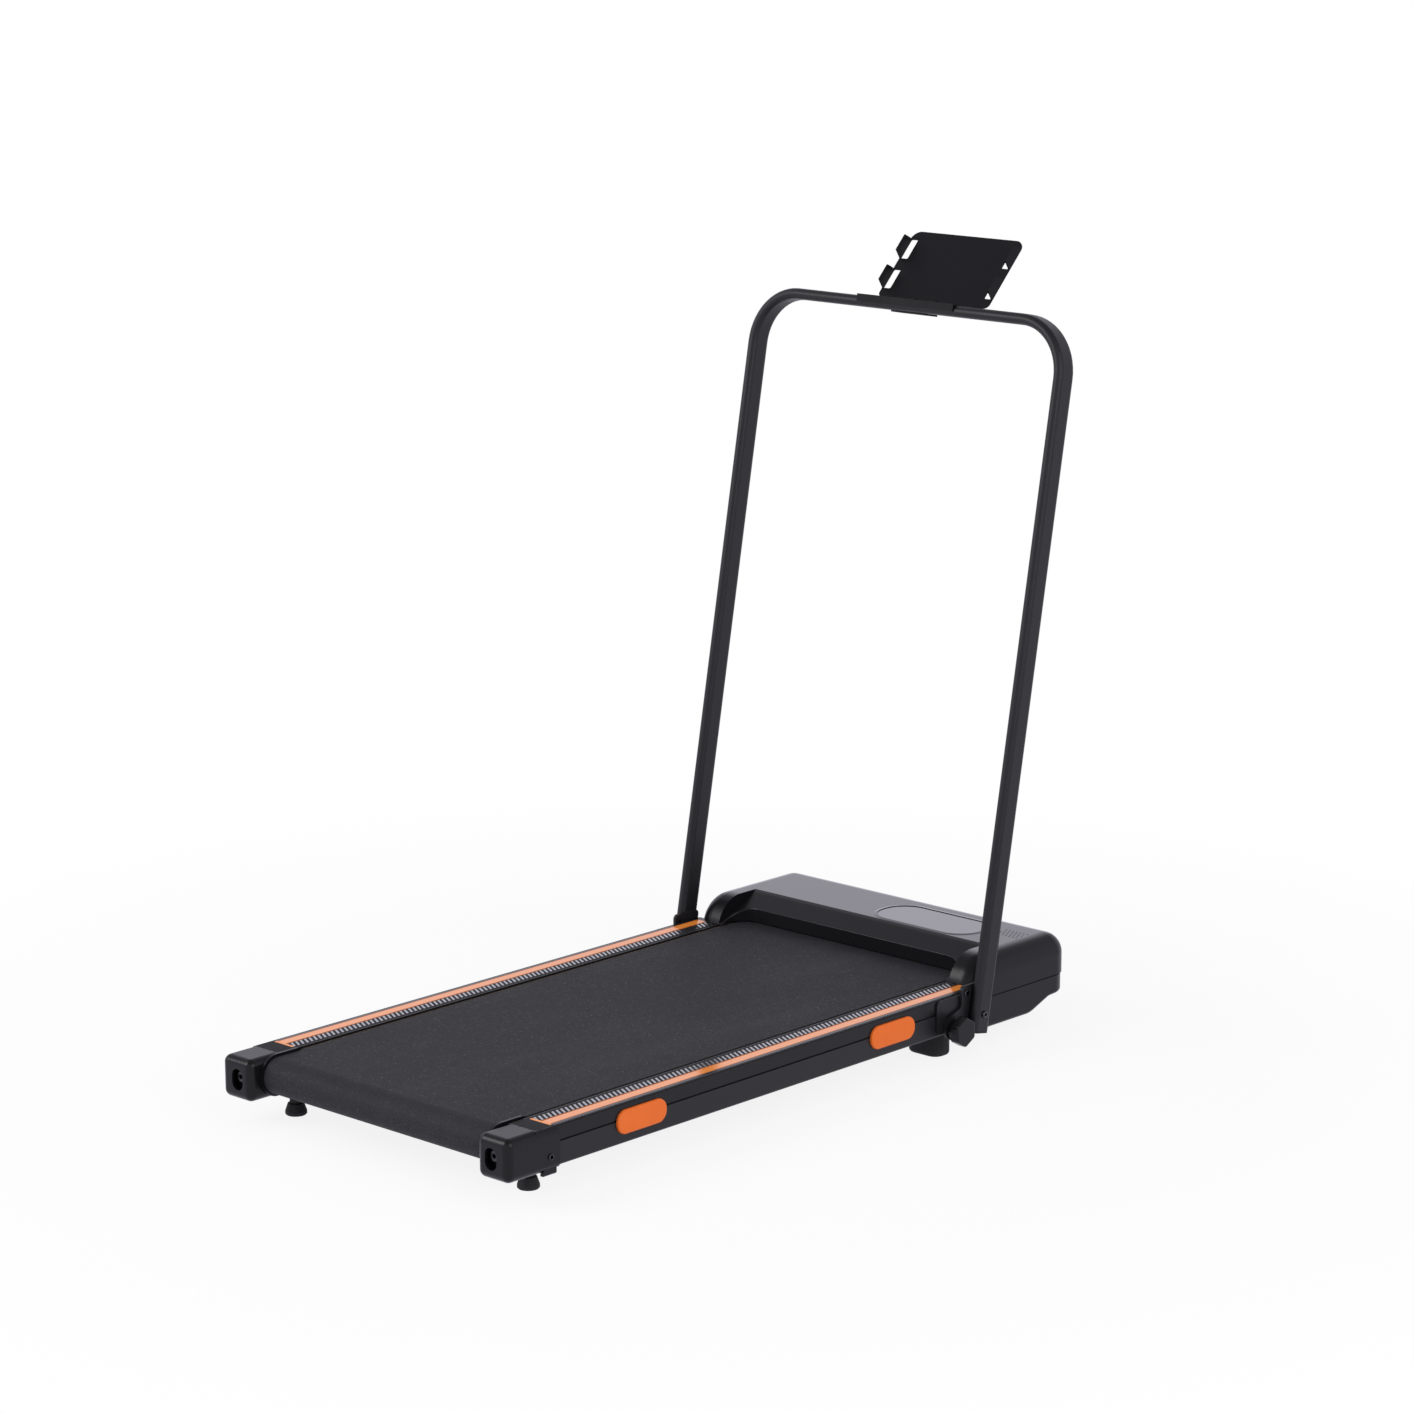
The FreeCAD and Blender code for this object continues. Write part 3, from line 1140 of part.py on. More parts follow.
def transport_wheel():
    """Small wheel with a rounded tread and a running bore."""
    x0, x1 = WHEEL_X - WHEEL_WIDTH / 2, WHEEL_X + WHEEL_WIDTH / 2
    body = rod_x(WHEEL_AT, WHEEL_Z, WHEEL_R, x0, x1)
    rims = edges_where(body, lambda edge, m: near(m.x, x0) or near(m.x, x1))
    body = body.makeFillet(WHEEL_TREAD_R, rims)
    return body.cut(rod_x(WHEEL_AT, WHEEL_Z, WHEEL_PIN_R + RUN_FIT, x0 - 1, x1 + 1))


def wheel_pins():
    """Pins of both transport wheels, held in the pan's lugs."""
    reach = WELL_HALF + PAN_WALL
    pin = rod_x(WHEEL_AT, WHEEL_Z, WHEEL_PIN_R, WHEEL_X - reach, WHEEL_X + reach)
    return group([pin, mirrored(pin)])


# Folding handrail

def lean(shape):
    """Take a shape from the handrail's upright frame to its leaning place on the deck."""
    copy = shape.copy()
    copy.rotate(V(0, 0, 0), X_AXIS, -LEAN)
    copy.translate(V(0, along(LEG_BASE_AT), 0))
    return copy


def tube_face(flat, wide, centre, across, ahead):
    """Flat-oval section with its short side along one vector and its long side along another."""
    half_flat = flat / 2
    straight = wide / 2 - half_flat

    def spot(a, b):
        return centre + across * a + ahead * b

    edges = [Part.LineSegment(spot(half_flat, -straight), spot(half_flat, straight)),
             Part.Arc(spot(half_flat, straight), spot(0, wide / 2), spot(-half_flat, straight)),
             Part.LineSegment(spot(-half_flat, straight), spot(-half_flat, -straight)),
             Part.Arc(spot(-half_flat, -straight), spot(0, -wide / 2), spot(half_flat, -straight))]
    return Part.Face(Part.Wire([edge.toShape() for edge in edges]))


def handrail_solid(flat, wide):
    """Upright U of one flat-oval section: two legs, two bends and the bar."""
    bend_z = BAR_AT - BEND_R
    bend_x = LEG_X - BEND_R
    pieces = []
    for side in (-1, 1):
        foot = tube_face(flat, wide, V(side * LEG_X, 0, LEG_BOTTOM), X_AXIS, Y_AXIS)
        pieces.append(foot.extrude(V(0, 0, bend_z - LEG_BOTTOM)))
        knee = tube_face(flat, wide, V(side * LEG_X, 0, bend_z), X_AXIS, Y_AXIS)
        pieces.append(knee.revolve(V(side * bend_x, 0, bend_z), V(0, -side, 0), 90))
    bar = tube_face(flat, wide, V(-bend_x, 0, BAR_AT), Z_AXIS, Y_AXIS)
    pieces.append(bar.extrude(V(2 * bend_x, 0, 0)))
    return joined(pieces)


def leg_bolt_at():
    """Distance along the deck of a leg's bolt, on the leg's centre line."""
    return LEG_BASE_AT + LEG_BOLT_Z * LEAN_SIN / LEAN_COS


def handrail_tube():
    """Bent hollow tube with a bolt hole in each leg."""
    hollow = handrail_solid(TUBE_FLAT - 2 * TUBE_WALL, TUBE_WIDE - 2 * TUBE_WALL)
    body = lean(handrail_solid(TUBE_FLAT, TUBE_WIDE).cut(hollow))
    reach = LEG_OUTER + 1
    return body.cut(rod_x(leg_bolt_at(), LEG_BOLT_Z, LEG_BOLT_R + PANEL_CLEAR, -reach, reach))


def hinge_bracket():
    """Plate on the rail's side with the stud that the handrail's arm turns on."""
    face = rectangle(PIVOT_AT - HINGE_BACK, RAIL_END - HINGE_FRONT_GAP, RAIL_BOTTOM + HINGE_BOTTOM_GAP,
                     FOOT_TOP - HINGE_TOP_GAP, HINGE_ROUND)
    plate = slab(face, "yz", RAIL_HALF, RAIL_HALF + HINGE_PLATE)
    return joined([plate, rod_x(PIVOT_AT, PIVOT_Z, STUD_R, RAIL_HALF, STUD_END)])


def hinge_arm():
    """Plate from the pivot to the leg, as wide as the leg at its front."""
    slope = LEAN_SIN / LEAN_COS
    front = TUBE_WIDE / 2 / LEAN_COS - ARM_FRONT_MARGIN

    def leg_front(z):
        return LEG_BASE_AT + z * slope + front

    low = PIVOT_Z - ARM_BOSS_R
    back = PIVOT_AT - ARM_BOSS_R
    boss_round = ARM_BOSS_R * 0.9
    points = [(ARM_BACK_AT, ARM_TOP_Z, ARM_ROUND), (ARM_BACK_AT, PIVOT_Z + ARM_KNEE_RISE, ARM_ROUND),
              (back, PIVOT_Z + ARM_BOSS_R, boss_round), (back, low, boss_round),
              (leg_front(LEG_BOTTOM), LEG_BOTTOM, ARM_ROUND), (leg_front(ARM_TOP_Z), ARM_TOP_Z, ARM_ROUND)]
    plate = slab(points, "yz", ARM_INNER, ARM_OUTER)
    x0, x1 = ARM_INNER - 1, ARM_OUTER + 1
    holes = [rod_x(PIVOT_AT, PIVOT_Z, STUD_R + RUN_FIT, x0, x1),
             rod_x(leg_bolt_at(), LEG_BOLT_Z, LEG_BOLT_R + PANEL_CLEAR, x0, x1),
             rod_x(ARM_SCREW_AT, ARM_SCREW_Z, SCREW_R + RUN_FIT, x0, x1)]
    return without(plate, holes)


def hinge_knob():
    """Six-sided clamp knob with a round hub and a blind bore on the stud."""
    start = KNOB_START + KNOB_HUB
    corners = [(PIVOT_AT + u, PIVOT_Z + v, KNOB_ROUND) for u, v in hexagon(KNOB_FLATS, 90)]
    grip = slab(corners, "yz", start, KNOB_END)
    grip = grip.makeFillet(KNOB_EDGE_R, edges_where(grip, lambda edge, m: near(m.x, KNOB_END)))
    hub = rod_x(PIVOT_AT, PIVOT_Z, KNOB_HUB_R, KNOB_START, start)
    bore = rod_x(PIVOT_AT, PIVOT_Z, STUD_R + RUN_FIT, KNOB_START - 1, STUD_END + KNOB_GAP)
    return joined([grip, hub]).cut(bore)


def leg_bolts():
    """Bolt through each leg and a short screw in each arm."""
    head = (LEG_BOLT_HEAD_R, LEG_BOLT_HEAD)
    bolt = button_screw(leg_bolt_at(), LEG_BOLT_Z, LEG_BOLT_R, head, ARM_INNER, LEG_OUTER)
    screw = button_screw(ARM_SCREW_AT, ARM_SCREW_Z, SCREW_R, (SCREW_HEAD_R, SCREW_HEAD), ARM_INNER, ARM_OUTER)
    return group([bolt, screw, mirrored(bolt), mirrored(screw)])


def leg_plugs():
    """Plastic plugs in the lower ends of the legs."""
    plugs = []
    inner_flat, inner_wide = TUBE_FLAT - 2 * TUBE_WALL, TUBE_WIDE - 2 * TUBE_WALL
    for side in (-1, 1):
        head = tube_face(TUBE_FLAT, TUBE_WIDE, V(side * LEG_X, 0, LEG_BOTTOM - PLUG_HEAD), X_AXIS, Y_AXIS)
        stem_foot = V(side * LEG_X, 0, LEG_BOTTOM)
        stem = tube_face(inner_flat - RUN_FIT, inner_wide - RUN_FIT, stem_foot, X_AXIS, Y_AXIS)
        plug = joined([head.extrude(V(0, 0, PLUG_HEAD)), stem.extrude(V(0, 0, PLUG_DEPTH))])
        plugs.append(lean(plug))
    return group(plugs)


# Tablet holder

def on_bar(x0, x1, ahead0, ahead1, rise0, rise1):
    """Box beside the bar in the handrail's upright frame, forward and up from the bar's centre."""
    return Part.makeBox(x1 - x0, ahead1 - ahead0, rise1 - rise0, V(x0, ahead0, BAR_AT + rise0))


def back_plate():
    """Upright back plate with rounded corners, lanced windows and the tabs folded out of them."""
    half = PLATE_HALF
    points = [(-half, 0, PLATE_FOOT_ROUND), (half, 0, PLATE_FOOT_ROUND), (half, PLATE_LENGTH, PLATE_ROUND),
              (-half, PLATE_LENGTH, PLATE_ROUND)]
    plate = slab(points, "xz", 0, SHEET)
    windows = []
    tabs = []
    for t0, t1 in TAB_SPANS:
        for side in (-1, 1):
            fold = half - SHEET
            x0, x1 = sorted((side * fold, side * (fold - WINDOW_WIDTH)))
            windows.append(slab(rectangle(x0, x1, t0, t1, WINDOW_R), "xz", -1, SHEET + 1))
            x0, x1 = sorted((side * fold, side * half))
            corners = sharp([(SHEET, t0), (SHEET, t1), (-TAB_NECK, t1), (-TAB_TALL, t1 - TAB_BEVEL),
                             (-TAB_TALL, t0 + TAB_BEVEL), (0, t0)])
            tabs.append(slab(corners, "yz", x0, x1))
    whole = joined([without(plate, windows)] + tabs)
    whole.translate(V(0, -along(0), 0))
    whole.rotate(V(0, 0, 0), X_AXIS, -PLATE_TILT)
    whole.translate(V(0, LEDGE_FRONT, BAR_AT + LEDGE_RISE))
    return whole


def holder_plate():
    """Folded sheet: back plate with side tabs, a ledge on the bar and a flange behind the bar."""
    seat = TUBE_FLAT / 2
    rear = TUBE_WIDE / 2 + GRIP_GAP
    ledge = on_bar(-LEDGE_HALF, LEDGE_HALF, -rear - SHEET, LEDGE_FRONT + SHEET, seat, seat + SHEET)
    flange = on_bar(-LEDGE_HALF, LEDGE_HALF, -rear - SHEET, -rear, seat + SHEET - LEDGE_FLANGE, seat + SHEET)
    middle = TUBE_WIDE / 2 + GRIP_GAP + SHEET + CLAMP_TONGUE / 2
    holes = [Part.makeCylinder(SCREW_R + PANEL_CLEAR, LEDGE_RISE + SHEET, V(x, middle, BAR_AT), Z_AXIS)
             for x in (-CLAMP_SCREW_X, CLAMP_SCREW_X)]
    return lean(without(joined([ledge, flange, back_plate()]), holes))


def holder_clamp():
    """Hook under the bar with a tongue against the ledge and two screws through both."""
    seat = TUBE_FLAT / 2
    front = TUBE_WIDE / 2 + GRIP_GAP
    tongue = on_bar(-CLAMP_HALF, CLAMP_HALF, front, front + SHEET + CLAMP_TONGUE, seat - SHEET, seat)
    under = -seat - GRIP_GAP
    web = on_bar(-CLAMP_HALF, CLAMP_HALF, front, front + SHEET, under - SHEET, seat)
    hook = on_bar(-CLAMP_HALF, CLAMP_HALF, front - CLAMP_HOOK, front + SHEET, under - SHEET, under)
    middle = front + SHEET + CLAMP_TONGUE / 2
    screws = []
    for x in (-CLAMP_SCREW_X, CLAMP_SCREW_X):
        foot = V(x, middle, BAR_AT + seat - SHEET)
        screws.append(Part.makeCylinder(SCREW_R, 2 * SHEET, foot, Z_AXIS))
        screws.append(Part.makeCylinder(SCREW_HEAD_R, SCREW_HEAD, foot + V(0, 0, 2 * SHEET), Z_AXIS))
    return lean(joined([tongue, web, hook] + screws))


def build():
    """Make every piece and write it as a node."""
    os.makedirs("parts", exist_ok=True)
    save_pair("side_rail", side_rail())
    save("cross_members", cross_members())
    save_pair("foot_rail", foot_rail())
    save_pair("foot_film", foot_film())
    save("deck_board", deck_board())
    save("deck_cushions", deck_cushions())
    save("running_belt", running_belt())
    save("rear_roller", roller(REAR_ROLLER_AT))
    save("rear_bearings", roller_bearings(REAR_ROLLER_AT))
    save("rear_axle", rear_axle())
    save("front_roller", roller(FRONT_ROLLER_AT))
    save("front_bearings", roller_bearings(FRONT_ROLLER_AT))
    save("front_axle", front_axle())
    save_pair("end_cap", end_cap())
    save_pair("tension_bolt", tension_bolt())
    save("cap_screws", cap_screws())
    for name, at in zip(("rear_side_pad", "front_side_pad"), PAD_AT):
        save_pair(name, side_pad(at))
    save("upper_hood", upper_hood())
    save("lower_pan", lower_pan())
    save("display_lens", display_lens())
    save("display_board", display_board())
    save("speaker", speaker())
    save("motor_tray", motor_tray())
    save("roller_pulley", roller_pulley())
    save("motor_pulley", motor_pulley())
    save("drive_belt", drive_belt())
    save("drive_motor", drive_motor())
    save("motor_rotor", motor_rotor())
    save("motor_bracket", motor_bracket())
    save("control_board", control_board())
    save("heat_sink", heat_sink())
    save("mains_inlet", mains_inlet())
    save("switch_bezel", switch_bezel())
    save("power_rocker", power_rocker())
    save_pair("rear_foot", rear_foot())
    save_pair("front_foot", front_foot())
    save_pair("transport_wheel", transport_wheel())
    save("wheel_pins", wheel_pins())
    save("handrail_tube", handrail_tube())
    save_pair("hinge_bracket", hinge_bracket())
    save_pair("hinge_arm", hinge_arm())
    save_pair("hinge_knob", hinge_knob())
    save("leg_bolts", leg_bolts())
    save("leg_plugs", leg_plugs())
    save("holder_plate", holder_plate())
    save("holder_clamp", holder_clamp())


build()
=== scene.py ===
# %% [markdown]
# # Walking pad with a folding handrail
# The pad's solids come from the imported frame: rails, belt, hood, handrail and tablet holder, each already in
# its place. This lesson dresses them. It sets up the camera and the light, mixes one finish for each real
# surface, models the small pieces that the solids leave plain, such as screws with key sockets, grooved
# wheels and the rim of the display window, and hands each new piece to the body that it moves with.

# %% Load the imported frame
import bmesh
import bpy
import json
import math
from mathutils import Matrix, Vector


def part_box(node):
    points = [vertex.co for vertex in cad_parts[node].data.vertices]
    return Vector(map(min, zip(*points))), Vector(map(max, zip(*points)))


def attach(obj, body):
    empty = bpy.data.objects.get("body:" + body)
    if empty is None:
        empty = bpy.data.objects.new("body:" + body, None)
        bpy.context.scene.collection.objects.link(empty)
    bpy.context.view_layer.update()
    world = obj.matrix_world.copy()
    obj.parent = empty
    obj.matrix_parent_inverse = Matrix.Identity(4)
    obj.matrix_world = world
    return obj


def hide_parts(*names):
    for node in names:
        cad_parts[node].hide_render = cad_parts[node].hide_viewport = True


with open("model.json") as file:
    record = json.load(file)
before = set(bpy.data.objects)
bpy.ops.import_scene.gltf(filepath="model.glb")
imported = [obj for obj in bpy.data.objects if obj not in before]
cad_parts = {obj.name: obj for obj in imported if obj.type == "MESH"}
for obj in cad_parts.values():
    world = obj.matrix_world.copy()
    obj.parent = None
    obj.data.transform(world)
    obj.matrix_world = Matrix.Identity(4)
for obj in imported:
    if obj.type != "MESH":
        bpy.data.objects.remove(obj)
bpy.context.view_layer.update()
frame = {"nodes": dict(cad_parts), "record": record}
nodes = frame["nodes"]

# %% [markdown]
# ## Camera
# The pad is seen from behind its right rear corner, at the eye height of someone standing, through a long
# lens. The camera could be turned by eye, but one worked out from the pad's own straight edges gives the same
# picture every time, so its angles, distance and lens are written down here as numbers.

# %% Place the camera
IMAGE_WIDTH, FOCAL_PIXELS, SENSOR_MM = 1414, 4296.4, 36.0
AZIMUTH, ELEVATION, ROLL = 43.246, 12.757, -0.228
EYE_AWAY, EYE_LEFT, EYE_UP = 5.60185, 0.00892, 0.01777
TARGET = Vector((0.0, 0.060319, 0.450))
turn, rise, roll = (math.radians(angle) for angle in (AZIMUTH, ELEVATION, ROLL))
right = Vector((math.cos(turn), math.sin(turn), 0))
back = Vector((math.sin(turn) * math.cos(rise), -math.cos(turn) * math.cos(rise), math.sin(rise)))
up = back.cross(right)
eye = TARGET + back * EYE_AWAY - right * EYE_LEFT + up * EYE_UP
side_axis = right * math.cos(roll) + up * math.sin(roll)
up_axis = up * math.cos(roll) - right * math.sin(roll)
lens_data = bpy.data.cameras.new("studio_camera")
lens_data.sensor_width = SENSOR_MM
lens_data.lens = SENSOR_MM * FOCAL_PIXELS / IMAGE_WIDTH
camera = bpy.data.objects.new("studio_camera", lens_data)
camera.matrix_world = Matrix.Translation(eye) @ Matrix((side_axis, up_axis, back)).transposed().to_4x4()
bpy.context.collection.objects.link(camera)
bpy.context.scene.camera = camera
print("lens %.1f mm, eye at" % lens_data.lens, [round(v, 3) for v in eye])

# %% [markdown]
# ## A short way to write node trees
# A finish is a small tree of nodes. Each node could be made and linked in four or five lines, but then a
# reader sees mostly wiring. One helper makes a node, sets its properties and joins its sockets, so that a
# finish below reads as a list of what it is made of.

# %% Helpers for node trees
def add_node(tree, kind, sockets=None, **settings):
    """Make a node: settings are its properties, sockets are its inputs as numbers, colours or links."""
    node = tree.nodes.new("ShaderNode" + kind)
    for key, value in settings.items():
        setattr(node, key, value)
    for key, value in (sockets or {}).items():
        if isinstance(value, bpy.types.NodeSocket):
            tree.links.new(value, node.inputs[key])
        else:
            node.inputs[key].default_value = value
    return node


def sum_up(tree, operation, first, second=0.0):
    """Result of one sum on two values."""
    return add_node(tree, "Math", {0: first, 1: second}, operation=operation).outputs[0]


def rescale(tree, value, low, high, new_low, new_high):
    """Value moved from one range to another and kept inside it."""
    sockets = {"Value": value, "From Min": low, "From Max": high, "To Min": new_low, "To Max": new_high}
    return add_node(tree, "MapRange", sockets).outputs["Result"]


def blend(tree, factor, first, second):
    """Blend of two values by a factor."""
    return add_node(tree, "Mix", {0: factor, 2: first, 3: second}, data_type="FLOAT").outputs[0]


def tint(tree, factor, first, second):
    """Blend of two colours by a factor."""
    return add_node(tree, "Mix", {0: factor, 6: first, 7: second}, data_type="RGBA").outputs[2]


print("node helpers ready")

# %% [markdown]
# ## Studio light
# The pad stands in a pale studio: a bright backdrop low all round, a dim ceiling, and two large soft lamps.
# The low backdrop is what the flat tops mirror at a shallow angle, so the hood's top shines while its sloped
# face stays dark. A plain white world would light all faces alike and lose that, so the world's brightness
# falls off with height. Daylight lamps are a touch blue, which shows in the black surfaces, so what they
# mirror has that tint, while the camera itself sees pure white.

# %% Build the backdrop light
DIFFUSE_LEVEL, CEILING_LEVEL = 0.60, 0.40
BRIGHT_UP_TO, DIM_FROM = 0.42, 0.80
WHITE, DAYLIGHT = (1.0, 1.0, 1.0, 1.0), (0.97, 0.955, 1.07, 1.0)


def picture_rays(tree):
    """Kinds of ray in a tree, and a mask of those that show in the picture, straight or mirrored."""
    path = add_node(tree, "LightPath").outputs
    mirrored = sum_up(tree, "ADD", path["Is Glossy Ray"], path["Is Transmission Ray"])
    sockets = {0: mirrored, 1: path["Is Camera Ray"]}
    return path, add_node(tree, "Math", sockets, operation="ADD", use_clamp=True).outputs[0]


world = bpy.data.worlds.new("studio")
world.use_nodes = True
bpy.context.scene.world = world
sky = world.node_tree
sky.nodes.clear()
heading = add_node(sky, "TexCoord").outputs["Generated"]
height = add_node(sky, "SeparateXYZ", {0: heading}).outputs["Z"]
backdrop = rescale(sky, height, BRIGHT_UP_TO, DIM_FROM, 1.0, CEILING_LEVEL)
path, seen = picture_rays(sky)
level = blend(sky, seen, DIFFUSE_LEVEL, backdrop)
glow_colour = tint(sky, path["Is Camera Ray"], DAYLIGHT, WHITE)
glow = add_node(sky, "Background", {"Color": glow_colour, "Strength": level})
add_node(sky, "OutputWorld", {"Surface": glow.outputs[0]})
bpy.context.scene.view_settings.view_transform = "Standard"
print("backdrop falls from 1.0 to", CEILING_LEVEL)


# %% Hang two soft lamps
def soft_lamp(name, spot, size, watts):
    """Large square lamp that faces the middle of the pad."""
    data = bpy.data.lights.new(name, "AREA")
    data.size = size
    data.energy = watts
    lamp = bpy.data.objects.new(name, data)
    lamp.location = spot
    lamp.rotation_euler = (TARGET - Vector(spot)).to_track_quat("-Z", "Y").to_euler()
    bpy.context.collection.objects.link(lamp)


soft_lamp("rear_left_lamp", (-2.4, -3.2, 2.6), 2.2, 90.0)
soft_lamp("right_lamp", (3.6, -0.6, 2.0), 2.4, 45.0)
print("two lamps hung")

# %% [markdown]
# ## Floor
# The floor is white paper. Near the pad it takes a faint soft shadow, and further out it runs into the
# backdrop with no edge. A plain white plane would turn grey where the lamps fall off, so the paper glows
# evenly and only a part of its brightness comes from the lamps, most of it close to the pad.

# %% Roll out the paper floor
LIT_SHARE, NEAR_REACH, FAR_REACH, FLOOR_HALF = 0.13, 0.75, 1.5, 30.0
paper = bpy.data.materials.new("floor_paper")
paper.use_nodes = True
tree = paper.node_tree
tree.nodes.clear()
spot = add_node(tree, "TexCoord").outputs["Object"]
reach = add_node(tree, "VectorMath", {0: spot}, operation="LENGTH").outputs["Value"]
far_share = rescale(tree, reach, NEAR_REACH, FAR_REACH, 0.0, 1.0)
fibre = add_node(tree, "TexNoise", {"Vector": spot, "Scale": 60.0, "Detail": 4.0}).outputs["Fac"]
paper_white = tint(tree, fibre, (0.86, 0.86, 0.86, 1), (0.90, 0.90, 0.90, 1))
lit = add_node(tree, "BsdfDiffuse", {"Color": paper_white}).outputs[0]
path, seen = picture_rays(tree)
white_colour = tint(tree, path["Is Camera Ray"], DAYLIGHT, WHITE)
white = add_node(tree, "Emission", {"Color": white_colour, "Strength": 1.0}).outputs[0]
near = add_node(tree, "MixShader", {0: 1.0 - LIT_SHARE, 1: lit, 2: white}).outputs[0]
picture = add_node(tree, "MixShader", {0: far_share, 1: near, 2: white}).outputs[0]
sheet = add_node(tree, "MixShader", {0: seen, 1: lit, 2: picture}).outputs[0]
add_node(tree, "OutputMaterial", {"Surface": sheet})
bm = bmesh.new()
bmesh.ops.create_grid(bm, x_segments=1, y_segments=1, size=FLOOR_HALF)
floor_mesh = bpy.data.meshes.new("floor")
bm.to_mesh(floor_mesh)
bm.free()
floor = bpy.data.objects.new("floor", floor_mesh)
floor_mesh.materials.append(paper)
bpy.context.collection.objects.link(floor)
print("floor laid")

# %% [markdown]
# ## Finishes
# Every finish starts from the same shader with a colour, a roughness and a gloss. What makes it look like a
# real surface is the fine structure on top: a grain in the height, slow drifts in colour and roughness, and
# lines where a tool passed. All of it is worked out from the place on the object, so it stays put when a
# piece moves.

# %% Helpers for finishes
def new_finish(name, colour, roughness, gloss=0.5, metal=0.0):
    """Start a finish and give back its material, tree, shader and the place on the object."""
    material = bpy.data.materials.new(name)
    material.use_nodes = True
    material.diffuse_color = (*colour, 1)
    shader = material.node_tree.nodes["Principled BSDF"]
    shader.inputs["Base Color"].default_value = (*colour, 1)
    shader.inputs["Roughness"].default_value = roughness
    shader.inputs["Specular IOR Level"].default_value = gloss
    shader.inputs["Metallic"].default_value = metal
    spot = add_node(material.node_tree, "TexCoord").outputs["Object"]
    return material, material.node_tree, shader, spot


def noise(tree, spot, scale, detail=2.0, roughness=0.5):
    """Cloudy pattern: the scale is in clouds to the metre."""
    sockets = {"Vector": spot, "Scale": scale, "Detail": detail, "Roughness": roughness}
    return add_node(tree, "TexNoise", sockets).outputs["Fac"]


def stretched(tree, spot, scale):
    """Place on the object, squeezed or drawn out along each axis."""
    return add_node(tree, "Mapping", {"Vector": spot, "Scale": scale}).outputs["Vector"]


def relief(tree, shader, height, depth, strength=1.0):
    """Raise the surface by a pattern, with the depth in metres."""
    bump = add_node(tree, "Bump", {"Height": height, "Distance": depth, "Strength": strength})
    tree.links.new(bump.outputs["Normal"], shader.inputs["Normal"])


def colour_drift(tree, shader, factor, first, second):
    """Let the colour drift between two tones by a pattern."""
    tree.links.new(tint(tree, factor, (*first, 1), (*second, 1)), shader.inputs["Base Color"])


def gloss_drift(tree, shader, factor, low, high):
    """Let the roughness drift by a pattern, taken over the middle of its range."""
    tree.links.new(rescale(tree, factor, 0.3, 0.7, low, high), shader.inputs["Roughness"])


def keep(kind, material):
    """Store a finish under the slot or kind that wears it."""
    finishes[kind] = material
    print("mixed", material.name)


finishes = {}
print("finish helpers ready")

# %% [markdown]
# ### Powder coat
# The rails and the handrail are steel with a satin black powder coat. Baked powder flows together in low
# waves some two millimetres across, like the skin of an orange, with a much finer tooth on them. Two noises,
# added at these two scales, give both. The tablet holder wears a duller powder that mirrors less.

# %% Mix the powder coat
material, tree, shader, spot = new_finish("satin_black_powder_coat", (0.010, 0.010, 0.0115), 0.40, 0.26)
waves = noise(tree, spot, 420.0, 2.0)
tooth = noise(tree, spot, 2600.0, 1.0)
skin = sum_up(tree, "ADD", waves, sum_up(tree, "MULTIPLY", tooth, 0.35))
relief(tree, shader, skin, 0.00006, 0.55)
handling = noise(tree, spot, 9.0, 4.0, 0.6)
gloss_drift(tree, shader, handling, 0.35, 0.45)
colour_drift(tree, shader, handling, (0.0085, 0.0085, 0.0098), (0.0125, 0.0125, 0.0142))
keep("painted_steel", material)

material, tree, shader, spot = new_finish("matt_black_powder_coat", (0.006, 0.006, 0.0072), 0.52, 0.12)
relief(tree, shader, noise(tree, spot, 1500.0, 3.0, 0.6), 0.00005, 0.5)
handling = noise(tree, spot, 14.0, 4.0, 0.6)
gloss_drift(tree, shader, handling, 0.46, 0.58)
colour_drift(tree, shader, handling, (0.0048, 0.0048, 0.0060), (0.0074, 0.0074, 0.0088))
keep("matt_powder_coat", material)

# %% [markdown]
# ### Moulded plastic
# The hood, the pan and the end caps are black plastic from moulds with a spark-eroded grain: a fine, even
# pitting that takes the hard shine off but still mirrors a bright backdrop at a shallow angle. A noise of
# about a millimetre is the grain, and a slow one lets the gloss drift a little, as handled plastic does. The
# hood comes from a smoother mould whose top is polished, so that its top mirrors the backdrop more fully.

# %% Mix the moulded plastic
material, tree, shader, spot = new_finish("grained_black_plastic", (0.006, 0.006, 0.0068), 0.27, 0.21)
pits = noise(tree, spot, 1300.0, 2.0, 0.6)
relief(tree, shader, pits, 0.00003, 0.5)
handling = noise(tree, spot, 7.0, 4.0, 0.6)
gloss_drift(tree, shader, handling, 0.24, 0.31)
colour_drift(tree, shader, handling, (0.0050, 0.0050, 0.0058), (0.0075, 0.0075, 0.0086))
keep("black_plastic", material)

POLISH_FROM, POLISH_FULL = 0.003, 0.001
hood_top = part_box("upper_hood")[1][2]
material, tree, shader, spot = new_finish("polished_top_plastic", (0.006, 0.006, 0.0068), 0.12, 0.20)
flow = noise(tree, spot, 7.0, 4.0, 0.6)
relief(tree, shader, noise(tree, spot, 1300.0, 2.0, 0.6), 0.00001, 0.2)
colour_drift(tree, shader, flow, (0.0050, 0.0050, 0.0058), (0.0075, 0.0075, 0.0086))
level = add_node(tree, "SeparateXYZ", {0: spot}).outputs["Z"]
polish = rescale(tree, level, hood_top - POLISH_FROM, hood_top - POLISH_FULL, 0.0, 1.0)
dull = rescale(tree, polish, 0.0, 1.0, 0.26, 0.10)
drift = rescale(tree, flow, 0.3, 0.7, 0.0, 0.06)
tree.links.new(sum_up(tree, "ADD", dull, drift), shader.inputs["Roughness"])
tree.links.new(rescale(tree, polish, 0.0, 1.0, 0.20, 0.42), shader.inputs["Specular IOR Level"])
